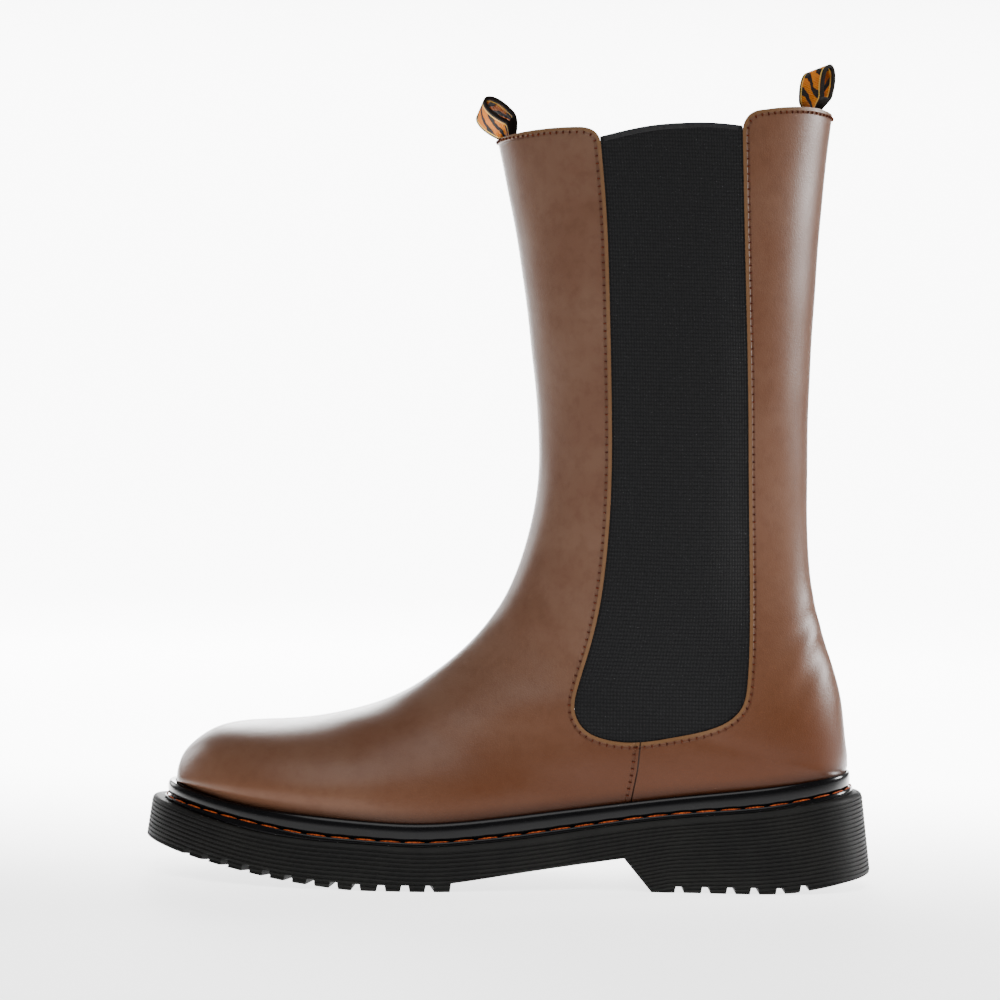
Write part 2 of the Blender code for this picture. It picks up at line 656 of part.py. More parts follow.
def make_outsole(surface):
    """Moulded sole with its heel: ribbed side, toe spring, waist, lugs."""
    points, rings = sole_rings()
    count = OUTLINE_STEPS
    faces = ring_faces(rings, count) + cap_faces(0, count) + cap_faces((rings - 1) * count, count)
    sole = mesh_object("outsole", points, faces, surface, 28.0)
    boolean(sole, prism("cut_underside", underside(), -CUT_REACH, CUT_REACH))
    cut_points, cut_faces = notches()
    boolean(sole, as_cutter(mesh_object("cut_notches", cut_points, cut_faces)))
    return sole


# ---------------------------------------------------------------- welt and insole

def make_welt(surface):
    """Rubber welt around the upper: a rounded bead over a stitched strip."""
    bead = bead_out(outline(RING_ANGLES, from_feather=0.0)[:, 0])
    strip = np.minimum(bead + WELT_STRIP, outline_columns(RING_ANGLES)[:, 2] - WELT_GAP)
    profile = (
        # out from the upper, sole line that sets the height, height over it
        (0 * bead + WELT_GAP, feather_z, 0.1),
        (0.6 * bead, feather_z, -0.4),
        (bead, feather_z, -2.2),
        (bead, bead_foot_z, 1.2),
        (strip, bead_foot_z, -0.5),
        (strip, rim_z, GAP),
        (0 * bead + WELT_GAP - TUCK_INSET, rim_z, GAP),
    )
    points = []
    for out, line, over in profile:
        ring = outline(RING_ANGLES, from_feather=-out)
        points += [(x, y, z) for (x, y), z in zip(ring, line(ring[:, 0]) + over)]
    count = OUTLINE_STEPS
    faces = ring_faces(len(profile), count)
    last = (len(profile) - 1) * count
    faces += [(last + k, last + (k + 1) % count, (k + 1) % count, k) for k in range(count)]
    return mesh_object("welt", points, faces, surface, 40.0)


def make_insole(surface):
    """Footbed lying on the outsole inside the upper."""
    edge_in = TUCK_INSET + WALL + INSOLE_CLEAR
    points = []
    for height, inset in ((0.0, 0.0), (INSOLE_THICKNESS - 1, 0.0), (INSOLE_THICKNESS, 0.8)):
        ring = outline(RING_ANGLES, from_feather=edge_in + inset)
        heights = rim_z(ring[:, 0]) + GAP + height
        points += [(x, y, z) for (x, y), z in zip(ring, heights)]
    count = OUTLINE_STEPS
    faces = ring_faces(3, count) + cap_faces(0, count) + cap_faces(2 * count, count)
    return mesh_object("insole", points, faces, surface, 40.0)


# ---------------------------------------------------------------- upper and gores

def gore_line(grow):
    """The gore opening's edge in side view, grown outwards, its points closer where it turns.

    It stops at both top corners, where the edge starts to bend.
    """
    fine = path_spline(GORE_EDGE, 400)
    top = np.where(np.arange(len(fine)) < len(fine) // 2, FRONT_CORNER[1], BACK_CORNER[1])
    fine = fine[fine[:, 1] < top - CORNER]
    along = np.gradient(fine, axis=0)
    along /= np.linalg.norm(along, axis=1)[:, None]
    turning = np.linalg.norm(np.diff(along, axis=0), axis=1)
    length = np.linalg.norm(np.diff(fine, axis=0), axis=1)
    measure = np.concatenate([[0], np.cumsum(length / GORE_FACET + turning / GORE_TURN)])
    at = np.linspace(0, measure[-1], int(measure[-1]) + 1)
    outward = np.stack([along[:, 1], -along[:, 0]], axis=1)
    line = fine + outward * grow
    return np.stack([np.interp(at, measure, line[:, k]) for k in range(2)], axis=1)


def collar_cut():
    """Side view of what is cut away above the collar and at the gores."""
    front = path_spline(FRONT_COLLAR, 8)
    front = front[front[:, 0] < FRONT_CORNER[0] - CORNER]
    back = path_spline(BACK_COLLAR, 8)
    back = back[back[:, 0] > BACK_CORNER[0] + CORNER]
    edge = gore_line(0.0)
    front_corner = rounded_corner(front[-1], FRONT_CORNER, edge[0])
    back_corner = rounded_corner(edge[-1], BACK_CORNER, back[0])
    line = [*front[:-1], *front_corner, *edge[1:-1], *back_corner, *back[1:]]
    above = UPPER_KEYS[0, 4] + CUT_REACH
    return [tuple(point) for point in line] + [(back[-1, 0], above), (front[0, 0], above)]


def rounded_corner(start, corner, end, steps=6):
    """Curve from start to end that bends round a corner."""
    start, corner, end = (np.array(point, float) for point in (start, corner, end))
    shares = np.linspace(0, 1, steps + 1)[:, None]
    return (1 - shares) ** 2 * start + 2 * shares * (1 - shares) * corner + shares ** 2 * end


def seam_grooves():
    """Shallow grooves that set off the front panel's edge below each gore."""
    line = path_spline(SEAM, 4)
    points, faces = [], []
    for side in (-1, 1):
        first = len(points)
        for x, z in line:
            y = side_y(x, z, side)
            for shift, out in ((-SEAM_HALF, CUT_PROUD), (SEAM_HALF, CUT_PROUD), (0.0, -SEAM_DEPTH)):
                points.append((x + shift, y + side * out, z))
        for k in range(len(line) - 1):
            here = first + 3 * k
            faces += [(here + a, here + b, here + 3 + b, here + 3 + a) for a, b in ((0, 1), (1, 2), (2, 0))]
        last = first + 3 * (len(line) - 1)
        faces += [(first, first + 1, first + 2), (last + 2, last + 1, last)]
    return points, faces


def make_upper(sheet, surface):
    """Leather upper: one hollow wall, open at collar, gores and underneath."""
    upper = mesh_object("upper", *sheet, surface, 50.0)
    solidify(upper, WALL)
    boolean(upper, prism("cut_collar", collar_cut(), -CUT_REACH, CUT_REACH))
    boolean(upper, as_cutter(mesh_object("cut_seams", *seam_grooves())))
    return upper


def make_gore(name, side, sheet, surface):
    """Elastic panel filling one opening, a little below the leather's face."""
    points, faces = sheet
    guide = mesh_object("guide", points, faces)
    normals = [vertex.normal.copy() for vertex in guide.data.vertices]
    bpy.data.objects.remove(guide, do_unlink=True)
    sunk = [np.array(point) - np.array(normal) * GORE_SINK for point, normal in zip(points, normals)]
    gore = mesh_object(name, sunk, faces, surface, 50.0)
    solidify(gore, GORE_THICKNESS)
    top = path_spline(GORE_TOP, 10)
    edge = gore_line(-GAP)
    edge = edge[edge[:, 1] < GORE_TOP[-1][1]]
    shape = [tuple(point) for point in (*edge, *top[::-1])]
    low, high = sorted((0.0, side * CUT_REACH))
    boolean(gore, prism("keep_" + name, shape, low, high), 'INTERSECT')
    return gore


# ---------------------------------------------------------------- pull loops

def loop_outlines():
    """Edge view of the folded tape as (out, height): its outer line and its hole."""
    turn = np.linspace(0, 2 * np.pi, 2 * LOOP_STEPS + 1)
    sign = np.where(turn < np.pi, 1.0, -1.0)
    swell = np.sin(turn) * np.sin(turn / 2) / 0.77
    out = (LOOP_WIDTH - TAPE_THICKNESS) / 2 * swell + sign * TAPE_THICKNESS / 4 * (1 + np.cos(turn))
    out[LOOP_STEPS] = 0.0
    height = (LOOP_LENGTH - TAPE_THICKNESS / 2) * (1 - np.cos(turn)) / 2
    middle = np.stack([out, height], axis=1)
    along = np.gradient(middle, axis=0)
    along[[0, -1]] = (0.0, 1.0), (0.0, -1.0)
    along /= np.linalg.norm(along, axis=1)[:, None]
    away = np.stack([along[:, 1], -along[:, 0]], axis=1) * TAPE_THICKNESS / 2
    skip = HOLE_START
    return middle + away, (middle - away)[skip:len(turn) - skip]


def loop_section():
    """Points (out, height) of the tape's edge view and the faces that fill it."""
    outer, hole = loop_outlines()
    count = len(outer)
    points = [tuple(point) for point in outer] + [tuple(point) for point in hole]
    inner = {k: count + k - HOLE_START for k in range(HOLE_START, count - HOLE_START)}
    faces = [(k, k + 1, inner[k + 1], inner[k]) for k in range(HOLE_START, count - HOLE_START - 1)]
    faces += [(k, k + 1, count - k - 2, count - k - 1) for k in range(HOLE_START)]
    faces.append((HOLE_START, inner[HOLE_START], inner[count - HOLE_START - 1], count - HOLE_START - 1))
    below = (0, count - 1)
    for depth in (TAB_DEPTH / 2, TAB_DEPTH):
        first = len(points)
        points += [(TAPE_THICKNESS, -depth), (-TAPE_THICKNESS, -depth)]
        faces.append((below[0], below[1], first + 1, first))
        below = (first, first + 1)
    return points, faces


def loop_place(out, height, across, lean, twist, drop, rake):
    """Where a point of the straight tape goes once the loop leans, twists and sags.

    Below the bend the tab follows the rake of the shaft's wall.
    """
    share = min(max(height / LOOP_BEND, 0.0), 1.0)
    share = share * share * (3 - 2 * share)
    high = max(height, 0.0)
    bend = math.radians(lean) * min(high / LOOP_BEND, 1.0)
    arc = min(high, LOOP_BEND)
    rate = math.radians(lean) / LOOP_BEND
    side = (1 - math.cos(rate * arc)) / rate
    rise = math.sin(rate * arc) / rate
    rest = max(high - LOOP_BEND, 0.0)
    side += rest * math.sin(bend) + out * math.cos(bend) + rake * min(height + LOOP_LIFT, 0.0)
    rise += rest * math.cos(bend) - out * math.sin(bend) + min(height, 0.0)
    rise -= across * math.sin(math.radians(drop) * share)
    across *= math.cos(math.radians(drop) * share)
    turn = math.radians(twist) * share
    return side * math.cos(turn) - across * math.sin(turn), \
        side * math.sin(turn) + across * math.cos(turn), rise


def collar_place(y, at_front):
    """Inner face of the collar at a y: the point, the direction out, the edge's height, the rake."""
    ring = section(UPPER_PLACES[0] + 12.0, HALF_STEPS)
    front = ring[HALF_STEPS // 2:-HALF_STEPS // 2]
    back = np.concatenate([ring[:HALF_STEPS // 2][::-1], ring[-HALF_STEPS // 2:][::-1]])
    part = front if at_front else back
    part = part[np.argsort(part[:, 1])]
    x = np.interp(y, part[:, 1], part[:, 0])
    reach = TAPE_WIDTH / 2
    slope = np.interp((y - reach, y + reach), part[:, 1], part[:, 0])
    away = np.array([2 * reach, slope[0] - slope[1]]) / math.hypot(2 * reach, slope[0] - slope[1])
    if at_front:
        away = -away
    line = np.array(FRONT_COLLAR if at_front else BACK_COLLAR, float)
    edge = spline(line[:, 0], line[:, 1], x)[0]
    column = 0 if at_front else 3
    (top_x, top_z), (low_x, low_z) = UPPER_KEYS[0, column:column + 2], UPPER_KEYS[1, column:column + 2]
    return np.array([x, y]) - away * (WALL + GAP), away, edge, abs((low_x - top_x) / (top_z - low_z))


def make_loop(name, y, at_front, lean, twist, drop, surface):
    """Folded tape: a tab inside the collar and a teardrop loop above it."""
    flat, faces = loop_section()
    inner, away, edge, rake = collar_place(y, at_front)
    along = np.array([-away[1], away[0]])
    handed = 1.0 if along[1] > 0 else -1.0
    points = []
    for across in (-TAPE_WIDTH / 2, TAPE_WIDTH / 2):
        for out, height in flat:
            side, over, rise = loop_place(out, height, across, lean, twist * handed, drop, rake)
            spot = inner + away * (side - LOOP_SEAT) + along * handed * over
            points.append((spot[0], spot[1], edge + LOOP_LIFT + rise))
    count = len(flat)
    loops = boundary_loops(faces)
    whole = list(faces) + [tuple(k + count for k in reversed(face)) for face in faces]
    whole += [(a, b, b + count, a + count) for a, b in loops]
    return mesh_object(name, points, whole, surface, 50.0)


def boundary_loops(faces):
    """Edges that only one face uses, each in the direction its face goes round."""
    edges = [(face[k], face[(k + 1) % len(face)]) for face in faces for k in range(len(face))]
    both = set(edges)
    return [(b, a) for a, b in edges if (b, a) not in both]


def main():
    """Clear the scene and build every piece."""
    for old in list(bpy.data.objects):
        bpy.data.objects.remove(old, do_unlink=True)
    leather = material("leather", (0.165, 0.075, 0.042), 0.45)
    elastic = material("elastic", (0.014, 0.014, 0.015), 0.9)
    rubber = material("rubber", (0.022, 0.021, 0.019), 0.7)
    gloss = material("welt_rubber", (0.012, 0.012, 0.014), 0.3)
    footbed = material("footbed", (0.10, 0.07, 0.05), 0.9)
    tape = material("tape", (0.80, 0.38, 0.06), 0.7)
    sheet = upper_sheet()
    make_outsole(rubber)
    make_welt(gloss)
    make_insole(footbed)
    make_upper(sheet, leather)
    make_gore("gore_lateral", -1, sheet, elastic)
    make_gore("gore_medial", 1, sheet, elastic)
    for row in LOOPS:
        make_loop(*row, tape)


main()
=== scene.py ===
"""Looks of the left mid-calf pull-on boot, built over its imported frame.

Sizes are in millimetres here and become metres when a mesh is made.  Toe to -X, lateral side
to -Y, +Z up, origin on the floor, as in the frame.
"""

import math

import bmesh
import bpy
import numpy as np
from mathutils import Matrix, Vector
from mathutils.bvhtree import BVHTree

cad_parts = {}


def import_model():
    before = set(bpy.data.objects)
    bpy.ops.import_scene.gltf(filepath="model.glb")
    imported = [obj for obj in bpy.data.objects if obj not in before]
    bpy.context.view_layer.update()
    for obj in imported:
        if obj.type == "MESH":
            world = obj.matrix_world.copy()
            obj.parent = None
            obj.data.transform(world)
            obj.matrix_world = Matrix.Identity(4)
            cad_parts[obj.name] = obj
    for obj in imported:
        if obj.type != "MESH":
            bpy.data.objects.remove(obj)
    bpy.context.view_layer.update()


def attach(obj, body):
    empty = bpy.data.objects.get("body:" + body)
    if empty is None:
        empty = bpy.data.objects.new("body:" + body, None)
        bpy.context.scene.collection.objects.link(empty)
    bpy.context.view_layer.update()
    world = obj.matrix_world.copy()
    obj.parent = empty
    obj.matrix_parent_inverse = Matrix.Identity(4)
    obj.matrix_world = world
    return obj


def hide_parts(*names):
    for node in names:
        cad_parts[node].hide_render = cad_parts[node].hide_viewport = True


MM = 0.001

# Driving sizes, mm
SOLE_LENGTH = 276.2
GAP = 0.3                     # between pieces that touch on the real boot
WELT_GAP = 0.45               # all round the upper, which is faceted otherwise than the welt
WALL = 2.3                    # leather with its lining
GORE_THICKNESS = 1.4
GORE_SINK = 0.5               # gore face below the leather face
LUG_DEPTH = 2.3
TAPE_WIDTH = 14.0
TAPE_THICKNESS = 1.3

# How finely the curved pieces are faceted
HALF_STEPS = 12               # half of the section that the pull loops stand on

# Sole seen from above: widths to the two sides at angles from toe (0) to heel (180), where
# x = -cos(angle) * SOLE_LENGTH / 2.  Flare is how far the side leans out from rim to floor,
# inset how far the upper stands in from the rim.
OUTLINE = (
    # angle, lateral, medial, flare, inset
    (0, -5.0, 5.0, 2.0, 8.9),
    (16, 15.0, 24.8, 2.2, 8.0),
    (32, 31.8, 38.2, 2.2, 6.8),
    (48, 45.4, 48.0, 1.8, 5.4),
    (64, 51.8, 52.2, 1.2, 5.0),
    (80, 50.8, 44.6, 1.0, 4.6),
    (96, 43.2, 33.2, 0.8, 4.2),
    (112, 39.2, 29.0, 1.0, 3.8),
    (128, 39.0, 31.2, 1.8, 3.7),
    (144, 36.4, 29.6, 2.8, 4.7),
    (160, 25.8, 19.0, 3.5, 5.7),
    (180, 3.5, -3.5, 3.8, 6.1),
)

# Heights along the sole: where the upper meets the welt, the foot of the welt's bead, and
# the rim of the outsole; and how far the bead stands out from the upper
SOLE_LINES = (
    # x, feather, bead_foot, rim, bead
    (-138, 36.2, 30.4, 29.4, 3.3),
    (-120, 32.3, 27.0, 25.2, 3.1),
    (-96, 28.2, 23.1, 20.3, 2.9),
    (-73, 26.2, 19.8, 17.8, 2.8),
    (-51, 24.7, 18.4, 16.8, 2.8),
    (-32, 24.2, 17.8, 16.2, 2.8),
    (-14, 25.4, 18.9, 17.3, 2.8),
    (8, 27.9, 21.4, 19.7, 2.7),
    (37, 31.6, 25.7, 24.1, 2.6),
    (67, 35.4, 29.6, 27.9, 2.4),
    (97, 38.8, 32.5, 30.8, 2.1),
    (120, 42.0, 36.3, 34.4, 1.7),
    (138, 44.6, 39.4, 37.0, 1.3),
)

# Underside along the boot: toe spring, flat tread, waist, heel breast, heel and its rear bevel
TOE_SPRING = (
    (-150, 17.2), (-132, 12.2), (-117, 8.8), (-101, 5.9), (-85, 3.2), (-71, 1.35), (-60, 0.35), (-50, 0.0),
)
TREAD_END = -21.0
WAIST = ((-20.6, 3.1), (43.0, 12.4))
HEEL_FRONT = 53.5
HEEL_BEVEL = ((98.0, 0.0), (106.0, 0.5), (113.0, 1.5), (121.0, 3.0), (131.0, 4.6), (150.0, 8.2))

# Side notches between the lugs
FORE_NOTCHES = 12
FORE_LAST_NOTCH = -28.4
FORE_PITCH = 9.11
FORE_PITCH_LOSS = 0.155       # each step towards the toe is this much shorter
HEEL_NOTCHES = 6
HEEL_FIRST_NOTCH = 64.0
HEEL_PITCH = 9.3
NOTCH_TOP = 2.6
NOTCH_FOOT = 4.0
NOTCH_REACH = 19.0
WAIST_STEP = 12               # notches further apart than this have the waist between them
FIRST_GROOVE = -98            # x past which the middle grooves start
GROOVE_GAP = 5.5              # between a side notch's inner end and a middle groove
SIDE_ANGLES = np.linspace(2, 178, 600)     # of the outline, where notches are set

# Sections of the upper.  Each lies in a plane that holds the Y direction and runs from a
# point on the front line to one on the back line.  The six widths are measured from y = 0
# to the lateral and medial side, near the front line, half way, and near the back line.
SHAFT_ROWS = (
    # front_x, front_z, front_y, back_x, back_z, lateral front mid back, medial front mid back
    (-12.0, 291.5, -3, 118.8, 306.0, 37.0, 49.0, 36.0, 31.0, 43.0, 30.0),
    (-1.6, 244.0, -3, 114.4, 258.0, 36.2, 48.0, 35.2, 30.2, 42.0, 29.2),
    (5.4, 199.0, -3, 111.9, 212.0, 34.8, 46.0, 33.4, 28.8, 40.0, 27.4),
    (8.7, 162.0, -3, 111.0, 172.0, 32.6, 43.6, 31.2, 26.6, 37.6, 25.2),
    (7.2, 140.0, -3, 111.2, 145.0, 31.0, 41.8, 29.0, 25.0, 35.8, 23.0),
    (2.7, 121.0, -3, 112.6, 121.0, 29.6, 40.8, 27.6, 23.8, 34.8, 21.6),
    (-3.5, 105.5, -2.9, 118.2, 95.5, 28.6, 40.2, 28.4, 23.2, 34.3, 22.2),
    (-9.6, 96.2, -2.8, 125.3, 73.0, 28.4, 39.2, 30.6, 23.4, 33.5, 24.0),
    (-14.4, 90.4, -2.7, 128.2, 52.5, 28.8, 38.2, 32.4, 24.0, 32.6, 25.5),
)
SEAT_ROW = (-16.8, 88.0, -2.6, 128.1, 43.6, 29.2, 37.9, 32.9, 24.4, 32.3, 26.0)
FOOT_ROWS = (
    # front_x, front_z, front_y, seat_x, lateral front mid back, medial front mid back
    (-20.6, 84.6, -2.4, 122.0, 29.8, 38.1, 34.5, 25.2, 32.4, 27.6),
    (-26.6, 79.7, -2.0, 102.0, 30.2, 38.6, 36.9, 26.0, 33.0, 29.8),
    (-34.6, 73.8, -1.4, 72.0, 30.0, 38.6, 37.3, 26.8, 32.6, 29.4),
    (-45.6, 67.7, -0.4, 34.0, 29.6, 39.8, 38.0, 27.8, 33.4, 28.2),
    (-57.4, 63.3, 0.8, -4.0, 29.2, 42.6, 43.6, 28.8, 36.6, 34.0),
    (-69.4, 60.2, 2.0, -36.0, 28.6, 44.4, 47.0, 30.0, 40.6, 42.6),
    (-82.0, 58.4, 3.0, -64.0, 27.4, 43.6, 46.9, 31.0, 43.4, 47.4),
    (-94.5, 57.6, 3.8, -86.0, 24.8, 40.0, 43.2, 30.6, 42.6, 45.8),
    (-106.0, 56.3, 4.4, -103.0, 21.0, 33.8, 36.6, 28.0, 38.6, 41.2),
    (-115.2, 53.1, 4.8, -114.5, 16.0, 26.0, 28.6, 23.4, 32.0, 34.4),
    (-121.9, 48.0, 5.0, -121.6, 10.6, 17.9, 20.0, 18.4, 25.4, 27.4),
    (-125.6, 42.6, 5.1, -125.6, 4.4, 9.6, 11.2, 12.8, 17.6, 19.0),
)
SECTION_FRONT, SECTION_MID, SECTION_BACK = 0.85, 0.50, 0.16   # shares of the way from back line
TUCK_INSET = 0.9              # lower edge of the upper stands in under the bead
WALL_LEAN = ((0.0, 0.0), (40.0, 0.15), (100.0, 0.15), (118.0, 0.0))   # x, lean out at the wall's foot

# Side view of the elastic gore's opening, down the front edge, round the foot, up the back
GORE_EDGE = (
    (28.3, 279.0), (31.0, 254.0), (33.2, 219.0), (34.8, 182.0), (35.4, 148.0), (34.2, 123.0),
    (31.4, 101.0), (27.8, 86.0), (24.4, 74.0), (23.6, 66.5), (27.0, 60.0), (35.0, 56.2),
    (47.0, 55.3), (59.0, 57.1), (70.5, 59.6), (79.0, 62.8), (85.2, 68.2), (87.6, 78.5),
    (88.2, 101.0), (87.7, 124.0), (86.6, 151.0), (85.3, 187.0), (83.6, 222.0), (81.9, 257.0),
    (80.7, 285.0),
)
GORE_TOP = ((28.3, 278.3), (36.0, 280.2), (46.5, 282.4), (57.5, 283.6), (70.0, 284.1), (80.7, 283.6))
FRONT_COLLAR = ((-20.0, 278.7), (-9.5, 280.1), (-4.0, 280.9), (4.0, 281.6), (13.0, 282.0), (20.0, 282.0))
BACK_COLLAR = ((89.0, 290.1), (95.0, 291.3), (103.0, 292.4), (111.0, 292.8), (119.0, 291.9), (128.0, 290.4))
FRONT_CORNER = (28.2, 282.0)
BACK_CORNER = (80.7, 289.1)
CORNER = 6.5                  # how far from its corner the panel's edge starts to bend
CLEAR_Z = 330.0               # above the shaft before it is cut
SEAM = ((48.2, 54.6), (47.4, 45.0), (45.4, 33.0))             # front panel's edge under the gore

# Pull loops: where the tape's middle stands on the collar, how its loop leans and twists
LOOPS = (
    # name, y on the collar, front of the boot?, lean out, twist about Z, drop of the far edge
    ("pull_loop_front", -5.0, True, 57.0, 9.0, 22.0),
    ("pull_loop_back", 0.0, False, 7.0, 26.0, 8.0),
)
LOOP_LENGTH = 17.0
LOOP_WIDTH = 6.0
LOOP_BEND = 5.0               # the lean is reached this far up
LOOP_LIFT = 1.8               # the bend starts this far above the collar's edge
LOOP_SEAT = 3.5               # middle of the two layers, in from the collar's inner face
TAB_DEPTH = 9.0
LOOP_STEPS = 27               # facets from the loop's foot to its top
HOLE_START = 9                # the loop's hole starts this many facets up

# ---- curves

def spline(knots, values, at, start=None, end=None):
    """Cubic curve through values at knots, read at the given places.

    A start or end slope clamps that end; otherwise it is left free.
    """
    knots = np.asarray(knots, float)
    values = np.asarray(values, float)
    step = np.diff(knots)
    count = len(knots)
    system = np.zeros((count, count))
    right = np.zeros(values.shape)
    rise = np.diff(values, axis=0)
    for i in range(1, count - 1):
        before, after = step[i - 1], step[i]
        system[i, i - 1] = 1 / before
        system[i, i] = 2 / before + 2 / after
        system[i, i + 1] = 1 / after
        right[i] = 3 * (rise[i - 1] / before ** 2 + rise[i] / after ** 2)
    for row, near, slope in ((0, 1, start), (count - 1, count - 2, end)):
        if slope is None:
            span = abs(knots[near] - knots[row])
            system[row, row] = 2 / span
            system[row, near] = 1 / span
            right[row] = 3 * rise[min(row, near)] / span ** 2
        else:
            system[row, row] = 1
            right[row] = slope
    slopes = np.linalg.solve(system, right)
    at = np.atleast_1d(np.asarray(at, float))
    cell = np.clip(np.searchsorted(knots, at) - 1, 0, count - 2)
    width = step[cell]
    t = (at - knots[cell]) / width
    if values.ndim > 1:
        t = t[:, None]
        width = width[:, None]
    a, b = values[cell], values[cell + 1]
    da, db = slopes[cell] * width, slopes[cell + 1] * width
    return (2 * t ** 3 - 3 * t ** 2 + 1) * a + (t ** 3 - 2 * t ** 2 + t) * da \
        + (3 * t ** 2 - 2 * t ** 3) * b + (t ** 3 - t ** 2) * db


def lengths_along(points):
    """Length of a line up to each of its points."""
    return np.concatenate([[0], np.cumsum(np.linalg.norm(np.diff(points, axis=0), axis=1))])


def read_columns(at, places, values):
    """Every column of values, kept at places, read at others by straight lines."""
    return np.stack([np.interp(at, places, column) for column in values.T], axis=1)


def read_pairs(at, pairs):
    """A table of pairs read by straight lines."""
    return np.interp(at, *np.array(pairs).T)


def turned_right(ways):
    """Directions in a plane, each turned a quarter to its right."""
    return np.stack([ways[:, 1], -ways[:, 0]], axis=1)


def path_spline(points, count, start=None, end=None):
    """Smooth curve through points, read at count places evenly spread along it."""
    points = np.asarray(points, float)
    knots = lengths_along(points)
    fine = spline(knots, points, np.linspace(0, knots[-1], 12 * len(points)), start, end)
    length = lengths_along(fine)
    return read_columns(np.linspace(0, length[-1], count), length, fine)


def table_line(table, column):
    """A height or size read along x from one column of a table."""
    rows = np.array(table, float)
    return lambda x: spline(rows[:, 0], rows[:, column], x)


# ---- sole outline

feather_z = table_line(SOLE_LINES, 1)
bead_foot_z = table_line(SOLE_LINES, 2)
rim_z = table_line(SOLE_LINES, 3)
bead_out = table_line(SOLE_LINES, 4)


def base_z(x):
    """Height of the untrimmed tread: toe spring, floor, then the heel's rear bevel."""
    toe = np.array(TOE_SPRING)
    heel = np.array(HEEL_BEVEL)
    x = np.asarray(x, float)
    spring = spline(toe[:, 0], toe[:, 1], x, end=0)
    bevel = spline(heel[:, 0], heel[:, 1], x, start=0)
    return np.where(x < toe[-1, 0], spring, np.where(x > heel[0, 0], bevel, 0.0))


def outline_columns(angles):
    """Signed y, flare and inset of the outline at angles from -180 (lateral) to 180 degrees."""
    rows = np.array(OUTLINE, float)
    lateral = np.stack([-rows[:, 0], -rows[:, 1], rows[:, 3], rows[:, 4]], axis=1)[::-1]
    medial = rows[:, [0, 2, 3, 4]]
    once = np.concatenate([lateral[:-1], medial[:-1]])
    turn = np.array([360.0, 0, 0, 0])
    table = np.concatenate([once - turn, once, once + turn])
    return spline(table[:, 0], table[:, 1:], angles)


def outline(angles, inset=0.0, from_feather=None, from_rim=None):
    """Points of the sole's outline seen from above, moved in along its normal.

    The inset counts from the floor outline, or from the rim, or from the line where the
    upper meets the welt, and a negative one moves out.
    """
    angles = np.asarray(angles, float)
    half = SOLE_LENGTH / 2

    def place(degrees):
        return np.stack([-half * np.cos(np.radians(degrees)), outline_columns(degrees)[:, 0]], axis=1)

    along = place(angles + 0.5) - place(angles - 0.5)
    along /= np.linalg.norm(along, axis=1)[:, None]
    inward = turned_right(along)
    columns = outline_columns(angles)
    depth = np.full(len(angles), 0.0) + inset
    if from_rim is not None:
        depth = columns[:, 1] + from_rim
    if from_feather is not None:
        depth = columns[:, 1] + columns[:, 2] + from_feather
    return place(angles) + inward * depth[:, None]


def lifted(ring, heights):
    """Points seen from above with their heights, as a list."""
    return list(np.column_stack([ring, heights]))


def seat_side(side):
    """Feather outline of one side (-1 lateral, 1 medial) as x, y and slope dy/dx, heel to toe."""
    angles = side * np.linspace(179.9, 0.1, 400)
    points = outline(angles, from_feather=0.0)
    slope = np.gradient(points[:, 1]) / np.gradient(points[:, 0])
    return points[:, 0][::-1], points[:, 1][::-1], slope[::-1]


SEAT = {side: seat_side(side) for side in (-1, 1)}
HEEL_SEAT = outline(np.array([180.0]), from_feather=0.0)[0]
TOE_SEAT = outline(np.array([0.0]), from_feather=0.0)[0]


# ---- upper surface

def upper_keys():
    """All key sections in one array, with the place of each along the upper.

    Columns: front x z y, back x z, lateral front mid back, medial front mid back.
    """
    rows = [list(row) for row in SHAFT_ROWS + (SEAT_ROW,)]
    for row in FOOT_ROWS:
        seat = row[3]
        rows.append([*row[:3], seat, feather_z(seat)[0], *row[4:]])
    toe = [TOE_SEAT[0], feather_z(TOE_SEAT[0])[0]]
    rows.append([*toe, TOE_SEAT[1], *toe] + [-TOE_SEAT[1]] * 3 + [TOE_SEAT[1]] * 3)
    rows = np.array(rows, float)
    rows[len(SHAFT_ROWS), 3:5] = HEEL_SEAT[0], feather_z(HEEL_SEAT[0])[0]
    step = np.linalg.norm(np.diff(rows[:, :2], axis=0), axis=1)
    step += np.linalg.norm(np.diff(rows[:, 3:5], axis=0), axis=1)
    return np.concatenate([[0], np.cumsum(step)]), rows


UPPER_PLACES, UPPER_KEYS = upper_keys()
SEAT_PLACE = UPPER_PLACES[len(SHAFT_ROWS)]
TOE_PLACE = UPPER_PLACES[-1]


